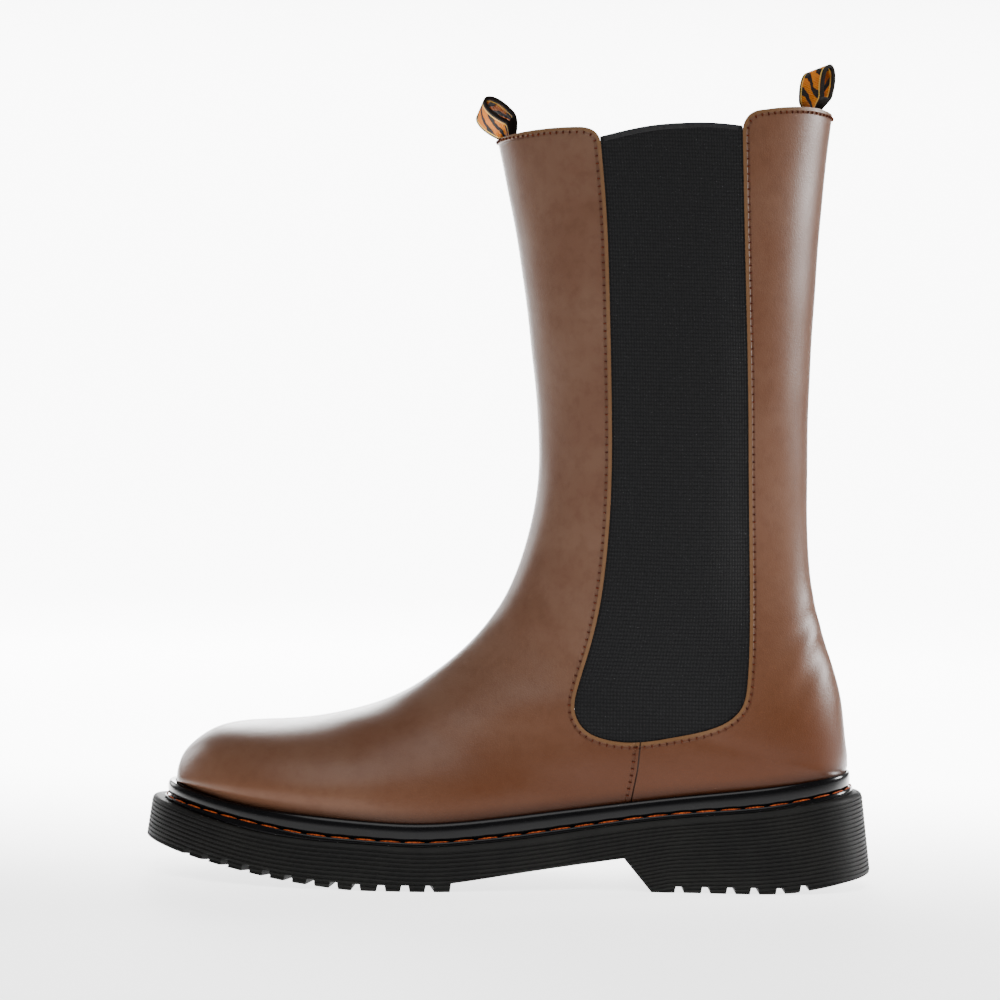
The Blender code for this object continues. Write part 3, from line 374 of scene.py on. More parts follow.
def section(place, steps):
    """One section of the upper, lateral lower end over the front line to the medial one."""
    row = spline(UPPER_PLACES, UPPER_KEYS, [place])[0]
    front_x, front_z, front_y, back_x, back_z = row[:5]
    open_below = place > SEAT_PLACE + 1e-6
    if open_below:
        back_x = min(back_x, HEEL_SEAT[0] - 0.01)
        back_z = feather_z(back_x)[0]
    chord = np.array([front_x - back_x, front_z - back_z])
    length = np.linalg.norm(chord)
    chord /= length
    halves = []
    for side, widths in ((-1, row[5:8]), (1, row[8:11])):
        if open_below:
            xs, ys, slopes = SEAT[side]
            end_y = np.interp(back_x, xs, ys)
            lean = read_pairs(back_x, WALL_LEAN)
            leave = np.array([1.0, chord[0] * np.interp(back_x, xs, slopes) + side * lean])
        else:
            end_y = HEEL_SEAT[1]
            leave = np.array([0.0, side])
        leave /= np.linalg.norm(leave)
        if leave[0] < 0:
            leave = -leave
        shares = (SECTION_BACK, SECTION_MID, SECTION_FRONT)
        points = [(0.0, end_y)]
        points += [(length * share, side * width) for share, width in zip(shares, widths[::-1])]
        points += [(length, front_y)]
        halves.append(path_spline(points, steps + 1, leave, np.array([0.0, -side])))
    flat = np.concatenate([halves[0], halves[1][::-1][1:]])
    return np.stack([back_x + chord[0] * flat[:, 0], flat[:, 1], back_z + chord[1] * flat[:, 0]], axis=1)


def relaxed(rings):
    """Even out the turn where the sections start to open along the feather line.

    Points move along their normals only, out again after each step in so the sheet keeps its
    size, and most near the turn.
    """
    rows = np.arange(len(rings))[1:-1, None]
    share = np.arange(rings.shape[1])[None, 1:-1] / (rings.shape[1] - 1)
    weight = np.exp(-((rows - FINE_SHAFT) / FINE_RELAX_ROWS) ** 2)
    weight = weight * np.minimum(1, 12 * np.minimum(share, 1 - share))
    for strength in (0.5, -0.52) * FINE_RELAX_PASSES:
        inside = rings[1:-1, 1:-1]
        down = rings[2:, 1:-1] - rings[:-2, 1:-1]
        over = rings[1:-1, 2:] - rings[1:-1, :-2]
        normal = np.cross(down, over)
        normal /= np.linalg.norm(normal, axis=2)[:, :, None]
        mean = (rings[2:, 1:-1] + rings[:-2, 1:-1] + rings[1:-1, 2:] + rings[1:-1, :-2]) / 4
        shift = ((mean - inside) * normal).sum(axis=2) * weight * strength
        rings = rings.copy()
        rings[1:-1, 1:-1] += normal * shift[:, :, None]
    return rings


def add_tuck(points, faces, rim):
    """Carry the lower edge of the upper down behind the bead to the outsole."""
    edge = np.array([points[number] for number in rim])
    along = np.roll(edge, -1, axis=0) - np.roll(edge, 1, axis=0)
    inward = np.stack([-along[:, 1], along[:, 0]], axis=1)
    inward /= -np.linalg.norm(inward, axis=1)[:, None]
    above = rim
    for share in (0.5, 1.0):
        ring = edge.copy()
        ring[:, :2] += inward * TUCK_INSET * share
        foot = rim_z(edge[:, 0]) + GAP
        ring[:, 2] += (foot - edge[:, 2]) * share
        below = list(range(len(points), len(points) + len(rim)))
        points.extend(ring)
        for k in range(len(rim)):
            after = (k + 1) % len(rim)
            faces.append((above[k], above[after], below[after], below[k]))
        above = below
    return points, faces


# ---- sizes that only the looks use

FINE_SHAFT = 100              # sections of the upper down to the heel seat
FINE_FOOT = 100               # and on to the toe
FINE_HALF = 64                # points from the front line to one side's lower edge
FINE_RELAX_ROWS = 20.0        # sections each way over which their turn at the seat is evened out
FINE_RELAX_PASSES = 240
SOFT_WIDTH = 4.0              # mm each way that the wall is then averaged over
SOFT_SHARE = 0.45             # and at most this share of the way to its lower edge
SOFT_REACH = 22.0             # mm from the seat within which it fades
SOFT_PASSES = 2
FINE_OUTLINE = 360            # points round the sole and the welt

# Side of the sole: a plain band under the rim, then fine ribs
LIPS = ((-138, 0.7), (-60, 0.8), (0, 1.7), (60, 2.0), (110, 1.6), (138, 0.8))    # x, the band's height
LIP_ROWS = (0.0, 0.08, 0.25, 0.5, 0.8)     # rows of points down it, as shares
RIM_ROUNDS = (                # x, rounding of its top corner
    (-138, 2.2), (-118, 1.2), (-90, 0.5), (70, 0.5), (105, 1.0), (128, 2.2), (138, 3.0),
)
SIDE_RIB = ((0.0, 0.0), (0.42, 0.0), (0.56, 1.0), (0.86, 1.0))    # shares of the pitch, of the depth
SIDE_RIB_PITCH = 1.6
SIDE_RIB_DEPTH = 0.42
RIB_STRETCH = ((20, 1.0), (60, 0.86), (130, 1.0))    # x, how the pitch varies

# Welt: a rounded bead over a stitched strip
BEAD_STEPS = 16               # facets round the bead
BEAD_FULLNESS = 0.55          # powers that make its section squarer than a half circle: out, down
BEAD_EDGE = 0.8
BEAD_OVER = 0.35              # its top above the line where the upper meets it
WELT_STRIP = 1.0              # the strip's way out beyond the bead
WELT_STITCH_PITCH = 9.1
WELT_STITCH_LENGTH = 8.4
WELT_THREAD = 0.31            # radius
WELT_THREAD_SINK = 0.5        # how far a stitch's ends dip below its middle
WELT_THREAD_OUT = 0.25        # out from the bead's widest line

# Rows of stitches along the leather's edges
STITCH_IN = 1.9               # in from the edge
STITCH_PITCH = 2.8
STITCH_LENGTH = 0.6
STITCH_THREAD = 0.56
STITCH_SINK = 0.35
STITCH_PROUD = 0.55           # share of a thread's radius that its middle stands out
STITCH_RINGS = 7              # rings of points along a stitch, and points in each
STITCH_SIDES = 6
WAY_STEP = 0.4                # a row's direction is read this far ahead and behind
COLLAR_SIDES = (4.0, 108.0)   # x between which the collar is met from the side, not the ends

# Elastic gores and their woven top edge
GORE_X = (16, 96)             # the skin within these is cut to make a gore
GORE_Z = (46, 294)
GORE_GROW = -0.05             # its edge past the edge of the opening in the leather
GORE_STEPS = 200              # points along that edge
GORE_WIDTH = 54.0             # width over which its upright cords are counted
RIB_BOW = 0.6                 # its level ribs bow by a quarter of this
KNIT_ROW = 1.4                # pitch of the ribs and of the cords
KNIT_CORD = 1.05
BINDING_HEIGHT = 2.2
BINDING_PROUD = 0.25          # out from the knit's faces
BINDING_SIDES = 16
BINDING_EDGE = 0.6            # power that squares its section

# Striped tape
TAPE_STRIPS = 14              # facets across
TAPE_BARS = 6.4               # pitch of the dark bars, and how they slant
TAPE_SLANT = 0.62
TAPE_ROW = 0.55               # pitch of the weave along and across
TAPE_CORD = 0.5

# Floor, lamps and camera
CAMERA = (-5.8, -1200.0, 154.0)
LENS = 113.1
CAMERA_DIP = 0.494            # degrees below level
CAMERA_ROLL = -1.2
SWEEP = 1500.0                # the floor turns up this far behind, and by this radius
WORLD_LIGHT = 0.15
STAGE_GLOW = 9.0              # light that the floor and backdrop give off behind the boot
GLOW_FRONT = (-0.46, -0.28)   # metres along y over which its front share sets in, and the rest
GLOW_BACK = (-0.15, 0.45)
GLOW_FRONT_SHARE = 0.22
GLOW_SIDES = (0.60, 0.24)     # metres out from the middle over which it fades
GLOW_TOP = (1.3, 0.6)         # and metres up the backdrop
LIGHTS = (
    # name, place, aim, size, power
    ("overhead", (-120.0, 1600.0, 650.0), (-60.0, 0.0, 60.0), 600.0, 20.0),
    ("toe_side", (-1000.0, 1150.0, 450.0), (0.0, 0.0, 120.0), 500.0, 6.0),
    ("heel_side", (1400.0, 500.0, 500.0), (0.0, 0.0, 150.0), 400.0, 28.0),
    ("camera_side", (0.0, -900.0, 1500.0), (0.0, 0.0, 100.0), 1400.0, 31.0),
)

WAVES = (
    # slight unevenness of the leather: height, then length along x and z and start of two waves
    (0.16, 17, 31, 0.0, -41, 23, 1.0),
    (0.10, 7.3, -11.9, 0.6, 29, 9.1, 0.0),
)
CREASES = (
    # from x, z, to x, z, half width, depth, lateral?, medial?
    (126.0, 104.0, 104.0, 70.0, 3.2, 0.55, True, True),
    (123.0, 112.0, 103.0, 92.0, 2.6, 0.40, True, False),
    (-8.0, 98.0, 22.0, 84.0, 5.0, 0.55, True, True),
    (-2.0, 112.0, 24.0, 104.0, 4.5, 0.40, True, True),
    (-44.0, 66.0, -22.0, 52.0, 4.5, 0.35, True, True),
    (-66.0, 59.0, -50.0, 44.0, 4.5, 0.28, True, True),
)


# ---- meshes

def mesh_object(name, points, faces, surfaces=(), angle=35.0):
    """An object from points in millimetres, with its faces turned outwards."""
    mesh = bpy.data.meshes.new(name)
    points = np.asarray(points, float) * MM
    mesh.from_pydata(points.tolist(), [], [tuple(int(k) for k in face) for face in faces])
    work = bmesh.new()
    work.from_mesh(mesh)
    bmesh.ops.recalc_face_normals(work, faces=work.faces)
    work.to_mesh(mesh)
    work.free()
    mesh.shade_smooth()
    mesh.set_sharp_from_angle(angle=math.radians(angle))
    made = bpy.data.objects.new(name, mesh)
    bpy.context.scene.collection.objects.link(made)
    for surface in surfaces:
        mesh.materials.append(surface)
    return made


def prism(name, side_view, y_low, y_high):
    """Cutter: a polygon in side view (x, z) carried from one y to another."""
    count = len(side_view)
    points = [(x, y, z) for y in (y_low, y_high) for x, z in side_view]
    faces = [tuple(range(count)), tuple(range(2 * count - 1, count - 1, -1))]
    faces += [(k, k + count, (k + 1) % count + count, (k + 1) % count) for k in range(count)]
    made = mesh_object(name, points, faces)
    made.data.shade_flat()
    return made


def boolean(target, cutter, operation='DIFFERENCE'):
    """Cut target with another object."""
    modifier = target.modifiers.new(operation.lower(), 'BOOLEAN')
    modifier.operation = operation
    modifier.solver = 'MANIFOLD'
    modifier.object = cutter


def solidify(target, thickness, inner_slot=0):
    """Give a sheet a wall that grows inwards."""
    modifier = target.modifiers.new("wall", 'SOLIDIFY')
    modifier.thickness = thickness * MM
    modifier.offset = -1.0
    modifier.use_even_offset = False
    modifier.material_offset = inner_slot


def apply_all(target, cutters):
    """Turn the modifiers' result into the object's own mesh and drop its cutters."""
    bpy.context.view_layer.update()
    graph = bpy.context.evaluated_depsgraph_get()
    mesh = bpy.data.meshes.new_from_object(target.evaluated_get(graph))
    target.modifiers.clear()
    target.data = mesh
    for cutter in cutters:
        bpy.data.objects.remove(cutter, do_unlink=True)


def vertex_points(target):
    """The object's vertices in millimetres."""
    points = np.empty(len(target.data.vertices) * 3)
    target.data.vertices.foreach_get("co", points)
    return points.reshape(-1, 3) / MM


def store(target, name, values):
    """Keep one number for each vertex, for the material to read."""
    layer = target.data.attributes.new(name, 'FLOAT', 'POINT')
    layer.data.foreach_set("value", np.asarray(values, np.float32))


def ring_faces(rings, count, start=0):
    """Quads between successive closed rings of count points."""
    faces = []
    for ring in range(rings - 1):
        for k in range(count):
            after = (k + 1) % count
            here = start + ring * count
            faces.append((here + k, here + after, here + count + after, here + count + k))
    return faces


def cap_faces(start, count):
    """Flat cap of an outline ring, as strips across the boot from toe to heel."""
    half = count // 2
    faces = [(start, start + 1, start + count - 1)]
    for k in range(1, half - 1):
        faces.append((start + k, start + k + 1, start + count - k - 1, start + count - k))
    faces.append((start + half - 1, start + half, start + half + 1))
    return faces


def unit(vectors):
    """Vectors scaled to length one."""
    vectors = np.asarray(vectors, float)
    return vectors / np.maximum(np.linalg.norm(vectors, axis=-1, keepdims=True), 1e-9)


def swollen(value, power):
    """A sine or cosine raised to a power with its sign kept: below 1 squares a round shape."""
    return math.copysign(abs(value) ** power, value)


def sweep(name, path, outs, profile, surface):
    """A strip: the profile (across, out) carried along a path that lies on a surface."""
    along = unit(np.gradient(path, axis=0))
    outs = unit(outs - along * (outs * along).sum(axis=1)[:, None])
    across = np.cross(along, outs)
    points = []
    for centre, side, out in zip(path, across, outs):
        points += [centre + side * a + out * b for a, b in profile]
    count = len(profile)
    faces = ring_faces(len(path), count)
    faces += [tuple(range(count)), tuple(range(len(points) - 1, len(points) - count - 1, -1))]
    return mesh_object(name, points, faces, [surface], 50.0)


def even_path(path, outs, pitch):
    """Places a pitch apart along a path: point, direction and outward normal of each."""
    length = lengths_along(path)
    count = int(round(length[-1] / pitch))
    at = (np.arange(count) + 0.5) * length[-1] / count
    ways = read_columns(at + WAY_STEP, length, path) - read_columns(at - WAY_STEP, length, path)
    return read_columns(at, length, path), unit(ways), unit(read_columns(at, length, outs))


def stitches(name, paths, pitch, length, thread, sink, surface):
    """Rows of thread: short arched capsules whose ends dip into the leather."""
    points, faces = [], []
    turn = np.arange(STITCH_SIDES) * 2 * np.pi / STITCH_SIDES
    for path, outs in paths:
        for spot, along, out in zip(*even_path(path, outs, pitch)):
            across = np.cross(along, out)
            first = len(points)
            for share in np.linspace(-1, 1, STITCH_RINGS):
                rise = thread * STITCH_PROUD - sink * share ** 2
                centre = spot + along * share * length / 2 + out * rise
                radius = thread * math.sqrt(max(1 - abs(share) ** 5, 0.04))
                points += [centre + radius * (across * math.cos(a) + out * math.sin(a)) for a in turn]
            faces += ring_faces(STITCH_RINGS, STITCH_SIDES, first)
            last = len(points) - STITCH_SIDES
            faces += [tuple(range(start, start + STITCH_SIDES)) for start in (first, last)]
    return mesh_object(name, points, faces, [surface], 60.0)


# ---- nodes

def srgb(red, green, blue):
    """Linear colour from the 0 to 255 values that a screen shows."""
    values = [channel / 255 for channel in (red, green, blue)]
    return tuple(c / 12.92 if c <= 0.04045 else ((c + 0.055) / 1.055) ** 2.4 for c in values) + (1.0,)


class Surface:
    """A material and short ways to add nodes to it."""

    def __init__(self, name):
        self.made = bpy.data.materials.new(name)
        self.made.use_nodes = True
        self.tree = self.made.node_tree
        self.shader = self.tree.nodes["Principled BSDF"]
        self.place = self.node("ShaderNodeTexCoord").outputs["Object"]

    def give(self, socket, value):
        """Link a node's output to a socket, or set the socket's own value."""
        if isinstance(value, bpy.types.NodeSocket):
            self.tree.links.new(value, socket)
        else:
            socket.default_value = value

    def node(self, kind, inputs=(), **settings):
        made = self.tree.nodes.new(kind)
        for key, value in settings.items():
            setattr(made, key, value)
        for key, value in dict(inputs).items():
            self.give(made.inputs[key], value)
        return made

    def maths(self, operation, *values):
        return self.node("ShaderNodeMath", enumerate(values), operation=operation).outputs[0]

    def times(self, first, second):
        return self.maths('MULTIPLY', first, second)

    def plus(self, first, second):
        return self.maths('ADD', first, second)

    def line(self, value, slope, start):
        """value * slope + start"""
        return self.maths('MULTIPLY_ADD', value, slope, start)

    def sine(self, value, pitch):
        """-1 to 1 and back once in each pitch of the value."""
        return self.maths('SINE', self.times(value, 2 * math.pi / pitch))

    def ripple(self, value, pitch):
        """The same from 0 to 1."""
        return self.line(self.sine(value, pitch), 0.5, 0.5)

    def smooth(self, value, low, high):
        """0 below low, 1 above high, easing between; low may be the larger."""
        made = self.node("ShaderNodeMapRange", {"Value": value, "From Min": low, "From Max": high},
                         interpolation_type='SMOOTHSTEP')
        return made.outputs["Result"]

    def band(self, value, middle, half, soft):
        """1 within half of middle, easing to 0 over soft."""
        away = self.maths('ABSOLUTE', self.maths('SUBTRACT', value, middle))
        return self.smooth(away, half + soft, half)

    def noise(self, scale, detail=2.0, rough=0.5, place=None, warp=0.0):
        made = self.node("ShaderNodeTexNoise", {"Vector": place or self.place, "Scale": scale,
                                                "Detail": detail, "Roughness": rough, "Distortion": warp})
        return made.outputs["Fac"]

    def cells(self, scale, feature='F1'):
        made = self.node("ShaderNodeTexVoronoi", {"Vector": self.place, "Scale": scale}, feature=feature)
        return made.outputs["Distance"]

    def mix(self, share, first, second):
        made = self.node("ShaderNodeMix", {0: share, 6: first, 7: second}, data_type='RGBA')
        return made.outputs[2]

    def tinted(self, colour, tints):
        """The colour with each tint laid over it in turn: its colour, its amount, where it lies."""
        for tint, amount, mask in tints:
            colour = self.mix(self.times(mask, amount), colour, srgb(*tint))
        return colour

    def read(self, name):
        """A number kept on the mesh."""
        return self.node("ShaderNodeAttribute", attribute_name=name).outputs["Fac"]

    def apart(self):
        """x, y and z of the place, in metres."""
        return self.node("ShaderNodeSeparateXYZ", {0: self.place}).outputs

    def scaled(self, x, y, z):
        return self.node("ShaderNodeMapping", {"Vector": self.place, "Scale": (x, y, z)}).outputs[0]

    def bump(self, height, distance, strength=1.0, normal=None):
        inputs = {"Height": height, "Distance": distance, "Strength": strength}
        if normal is not None:
            inputs["Normal"] = normal
        return self.node("ShaderNodeBump", inputs).outputs[0]

    def finish(self, colour, rough, normal=None, **sockets):
        """Set the shader's inputs; constants such as specular and sheen go on its own sockets."""
        self.give(self.shader.inputs["Base Color"], colour)
        self.give(self.shader.inputs["Roughness"], rough)
        if normal is not None:
            self.give(self.shader.inputs["Normal"], normal)
        for name, value in sockets.items():
            self.give(self.shader.inputs[name.replace("_", " ")], value)
        return self.made


# ---- materials
# Distances on the mesh are in mm, places in metres, noise scales per metre, colours as a
# screen shows them (0 to 255).

def leather_material():
    """Smooth waxed leather: a cloudy brown with a fine grain, warmer and darker towards the sole, the
    darkening partly painted shade.
    """
    s = Surface("leather_look")
    edge, seam, low = s.read("edge_mm"), s.read("seam_mm"), s.read("low_mm")
    x = s.apart()["X"]
    cloud = s.noise(26.0, 3.0, 0.55, warp=0.4)
    mottle = s.noise(210.0, 3.0, 0.6)
    trough = s.maths('MAXIMUM', s.band(edge, STITCH_IN, 0.15, 0.5),
                     s.times(s.band(seam, STITCH_IN, 0.15, 0.5), s.smooth(edge, 0.0, 0.6)))
    plain = s.mix(s.smooth(cloud, 0.3, 0.72), srgb(90, 63, 49), srgb(99, 74, 60))
    colour = s.tinted(plain, (
        ((92, 54, 32), 0.35, s.smooth(x, 0.02, 0.10)),                      # redder at the heel
        ((72, 44, 30), 0.18, s.smooth(mottle, 0.42, 0.7)),
        ((88, 52, 30), 0.30, s.smooth(low, 80.0, 4.0)),                     # warmer and darker down the foot, partly painted shade
        # painted shade: the low wall at the heel end darker, as if the light from above reached it less;
        # partly the leather's own warmer tone
        ((68, 32, 10), 0.75, s.times(s.smooth(low, 50.0, 4.0), s.smooth(x, -0.09, 0.03))),
        ((40, 19, 8), 0.55, s.smooth(low, 6.0, 0.5)),                       # painted shade along the leather's foot beside the bead
        ((104, 77, 50), 0.60, s.smooth(edge, STITCH_IN - 0.3, STITCH_IN - 0.9)),    # worn rim
        ((56, 28, 14), 0.12, trough),                                       # painted shade in the pressed groove under the stitches
        ((20, 10, 6), 0.85, s.band(seam, 0.0, 0.14, 0.3)),                  # joint of the panels
    ))
    rough = s.line(s.noise(60.0, 3.0), 0.10, 0.27)
    grain = s.plus(s.times(s.cells(1300.0, 'SMOOTH_F1'), 0.5), s.noise(2600.0, 2.0))
    press = s.maths('SUBTRACT', s.smooth(seam, -0.35, 0.35), s.times(trough, 0.35))
    normal = s.bump(press, 0.0005, 1.0, s.bump(grain, 0.00010, 0.5))
    return s.finish(colour, rough, normal, Specular_IOR_Level=0.12)


def plain_surface(name, dark, light, cloud, rough, grain, bump, span=None, **sockets):
    """Two colours mixed by a cloud of noise, with a fine grain.

    The cloud and the grain are a noise's scale, detail and roughness, or the grain is one number,
    the scale of its cells.  The roughness is a number or a noise's scale, spread and least value.
    The span sharpens the mix.
    """
    s = Surface(name)
    share = s.noise(*cloud)
    if span:
        share = s.smooth(share, *span)
    if isinstance(rough, tuple):
        rough = s.line(s.noise(rough[0], 3.0), *rough[1:])
    height = s.noise(*grain) if isinstance(grain, tuple) else s.cells(grain)
    return s.finish(s.mix(share, srgb(*dark), srgb(*light)), rough, s.bump(height, *bump), **sockets)


def edge_material():
    """Cut edge of the leather."""
    return plain_surface("leather_edge", (60, 34, 22), (104, 70, 48), (700.0, 3.0), 0.8,
                         (3000.0, 2.0), (0.0001, 0.6), Specular_IOR_Level=0.1)


def lining_material():
    """Lining inside the boot: napped leather."""
    return plain_surface("lining", (92, 70, 54), (124, 98, 76), (60.0, 4.0, 0.6), 0.92,
                         (1800.0, 3.0, 0.7), (0.00015, 0.6), Sheen_Weight=0.2)


def rubber_material():
    """Moulded sole rubber, a little lighter in patches as with dust."""
    return plain_surface("sole_rubber", (10, 10, 9), (17, 17, 15), (45.0, 3.0, 0.6), (140.0, 0.2, 0.5),
                         (1500.0, 3.0, 0.6), (0.00008, 0.6), (0.35, 0.7), Specular_IOR_Level=0.15)


def gloss_material():
    """Glossy moulded welt."""
    return plain_surface("welt_gloss", (6, 6, 7), (11, 11, 12), (70.0, 2.0), (120.0, 0.12, 0.12),
                         (40.0, 2.0), (0.0002, 0.3), Specular_IOR_Level=0.16)


def footbed_material():
    """Leather footbed."""
    return plain_surface("footbed_look", (96, 72, 52), (126, 98, 74), (40.0, 4.0, 0.6), 0.75,
                         900.0, (0.00015, 0.4))


def thread_material(name, dark, light, twist):
    """Twisted sewing thread."""
    ply = (twist, 2.0, 0.6)
    # painted shade: one noise gives both the colour and the bump, so the thread is darker where it sinks
    return plain_surface(name, dark, light, ply, 0.6, ply, (0.0002, 0.7), (0.35, 0.7),
                         Specular_IOR_Level=0.1)


def knit_material():
    """Elastic knit: level ribs crossed by fine upright cords."""
    s = Surface("elastic_knit")
    wander = s.line(s.noise(90.0, 2.0), 0.5, -0.25)
    rows = s.ripple(s.plus(s.read("rib_v"), wander), KNIT_ROW)
    cords = s.ripple(s.read("rib_u"), KNIT_CORD)
    weave = s.times(s.maths('POWER', rows, 0.4), s.line(cords, 0.6, 0.4))
    fuzz = s.noise(2400.0, 3.0, 0.7)
    height = s.line(fuzz, 0.25, weave)
    # painted shade: the colour follows the weave's height, darker in the hollows between ribs and cords
    plain = s.mix(weave, srgb(7, 7, 8), srgb(25, 25, 26))
    colour = s.tinted(plain, [((46, 46, 47), 0.3, s.smooth(fuzz, 0.55, 0.8))])
    return s.finish(colour, 0.86, s.bump(height, 0.0003, 1.0), Specular_IOR_Level=0.15,
                    Sheen_Weight=0.06, Sheen_Roughness=0.5)


def binding_material():
    """Woven edge of the elastic."""
    s = Surface("binding")
    ribs = s.noise(1.0, 1.0, 0.5, s.scaled(1800.0, 1800.0, 500.0))
    # painted shade: the same noise raises the ribs and lightens them, so the hollows are darker
    colour = s.mix(ribs, srgb(12, 12, 13), srgb(40, 40, 41))
    return s.finish(colour, 0.75, s.bump(ribs, 0.0002, 0.8), Specular_IOR_Level=0.2, Sheen_Weight=0.05)


def tape_material():
    """Woven tape with dark slanting bars on gold, dark selvedges and a pale line beside them."""
    s = Surface("striped_tape")
    along, across = s.read("tape_s"), s.read("tape_w")
    side = s.maths('ABSOLUTE', across)
    bend = s.times(s.maths('SINE', s.times(across, 0.42)), 1.3)
    wobble = s.line(s.noise(160.0, 2.0, 0.6), 5.0, -2.5)
    slant = s.plus(s.plus(along, s.times(across, TAPE_SLANT)), s.plus(bend, wobble))
    gold = s.mix(s.noise(240.0, 2.0), srgb(208, 102, 0), srgb(232, 138, 3))
    weave = s.ripple(along, TAPE_ROW)
    fine = s.line(s.sine(across, TAPE_CORD), 0.5, weave)
    colour = s.tinted(gold, (
        ((12, 8, 6), 1.0, s.smooth(s.sine(slant, TAPE_BARS), 0.05, 0.45)),
        ((236, 190, 90), 1.0, s.band(side, TAPE_WIDTH / 2 - 1.5, 0.25, 0.2)),
        ((10, 9, 8), 1.0, s.smooth(side, TAPE_WIDTH / 2 - 1.15, TAPE_WIDTH / 2 - 0.85)),
        # painted shade in the hollows of the weave, where the raised pattern sinks
        ((60, 36, 16), 0.4, s.smooth(fine, 0.6, -0.2)),
    ))
    return s.finish(colour, 0.62, s.bump(fine, 0.00016, 0.8), Specular_IOR_Level=0.08)


def floor_material():
    """Plain pale studio floor that gives off light: most behind the boot, less in front of it,
    and none far to the sides or high up the backdrop."""
    s = Surface("floor_look")
    tone = s.mix(s.noise(3.0, 2.0), (0.86, 0.86, 0.86, 1), (0.88, 0.88, 0.88, 1))
    x, y, z = s.apart()
    aside = s.line(y, -0.2, s.maths('ABSOLUTE', x))
    front = s.times(s.smooth(y, *GLOW_FRONT), GLOW_FRONT_SHARE)
    back = s.times(s.smooth(y, *GLOW_BACK), 1 - GLOW_FRONT_SHARE)
    glow = s.times(s.plus(front, back), s.smooth(aside, *GLOW_SIDES))
    glow = s.times(glow, s.smooth(z, *GLOW_TOP))
    return s.finish(tone, 0.6, Emission_Strength=s.times(glow, STAGE_GLOW),
                    Emission_Color=(1.0, 1.0, 1.0, 1.0), Specular_IOR_Level=0.1)


# ---- the upper's finer skin

def fine_rings():
    """Outer face of the upper as a fine grid of sections, evened out round the heel seat."""
    shaft = np.linspace(0, SEAT_PLACE, FINE_SHAFT + 1)
    edge = outline(np.linspace(180, 0, 1600), from_feather=0.0)
    length = lengths_along(edge)
    seats = np.interp(np.linspace(0, length[-1], FINE_FOOT + 1)[1:-1], length, edge[:, 0])
    fine = np.linspace(SEAT_PLACE, TOE_PLACE, 4000)
    backs = np.minimum.accumulate(spline(UPPER_PLACES, UPPER_KEYS[:, 3], fine))
    places = np.concatenate([shaft, np.interp(-seats, -backs, fine)])
    rings = np.array([section(place, FINE_HALF) for place in places])
    rings[:FINE_SHAFT + 1, 0, 1] = rings[:FINE_SHAFT + 1, -1, 1] = HEEL_SEAT[1]
    rings = relaxed(rings)
    for _ in range(SOFT_PASSES):
        rings = softened(rings)
    return rings


def softened(rings):
    """Ease the wall's turn at the heel seat: each column is averaged along itself near that row."""
    places = np.stack([lengths_along(column) for column in rings.swapaxes(0, 1)], axis=1)
    places -= places[FINE_SHAFT]
    run = lengths_along(rings[FINE_SHAFT])
    from_end = np.minimum(run, run[-1] - run)
    eased = rings.copy()
    for column in range(1, rings.shape[1] - 1):
        place = places[:, column]
        width = min(SOFT_WIDTH, SOFT_SHARE * from_end[column])
        weights = np.exp(-0.5 * ((place[:, None] - place) / width) ** 2) * np.gradient(place)
        mean = weights @ rings[:, column] / weights.sum(axis=1)[:, None]
        fade = np.exp(-(place / SOFT_REACH) ** 2)[:, None]
        eased[:, column] += (mean - rings[:, column]) * fade
    return eased


def grid_normals(rings):
    """Outward normals of the grid, the same on both ends of its closed rows."""
    normals = unit(np.cross(np.gradient(rings, axis=1), np.gradient(rings, axis=0)))
    both = unit(normals[:FINE_SHAFT + 1, 0] + normals[:FINE_SHAFT + 1, -1])
    normals[:FINE_SHAFT + 1, 0] = normals[:FINE_SHAFT + 1, -1] = both
    return normals


def ease(values):
    """Smooth step from 0 to 1."""
    values = np.clip(values, 0, 1)
    return values * values * (3 - 2 * values)


def relief(rings, normals):
    """How far each point moves out: creases as soft troughs between ridges, and a slight unevenness."""
    x, z = rings[..., 0], rings[..., 2]
    low = z - feather_z(x.ravel()).reshape(x.shape)
    move = np.zeros(x.shape)
    for height, x1, z1, start1, x2, z2, start2 in WAVES:
        move += height * np.sin(x / x1 + z / z1 + start1) * np.sin(x / x2 + z / z2 + start2)
    for x0, z0, x1, z1, half, depth, lateral, medial in CREASES:
        run = np.array([x1 - x0, z1 - z0])
        length = np.linalg.norm(run)
        run /= length
        along = ((x - x0) * run[0] + (z - z0) * run[1]) / length
        across = ((z - z0) * run[0] - (x - x0) * run[1]) / half
        ends = ease(1.6 * np.minimum(along + 0.25, 1.25 - along))     # fades a quarter past each end
        ridge = np.exp(-((abs(across) - 1.9) / 0.9) ** 2)             # one each side of the trough
        shape = -np.exp(-across ** 2) + 0.45 * ridge
        sides = ease(-3 * normals[..., 1]) * lateral + ease(3 * normals[..., 1]) * medial
        move += depth * shape * ends * sides
    return move * ease(low / 9)


def upper_sheet(rings):
    """The grid as points and faces, with its lower edge carried down behind the bead."""
    points, numbers = [], []
    last = rings.shape[1] - 1
    for row, ring in enumerate(rings):
        kept = ring[:-1] if row <= FINE_SHAFT else ring     # closed above the seat, open below
        line = list(range(len(points), len(points) + len(kept)))
        numbers.append(line + line[:last + 1 - len(kept)])
        points.extend(kept)
    faces = []
    for above, below in zip(numbers, numbers[1:]):
        for k in range(last):
            corners = (above[k], above[k + 1], below[k + 1], below[k])
            faces.append(tuple(dict.fromkeys(corners)))
    toe = len(points)
    points.append(np.array([*TOE_SEAT, feather_z(TOE_SEAT[0])[0]]))
    faces += [(numbers[-1][k], numbers[-1][k + 1], toe) for k in range(last)]
    open_rows = numbers[FINE_SHAFT:]
    rim = [row[0] for row in open_rows] + [toe] + [row[last] for row in open_rows[:0:-1]]
    return add_tuck(points, faces, rim)


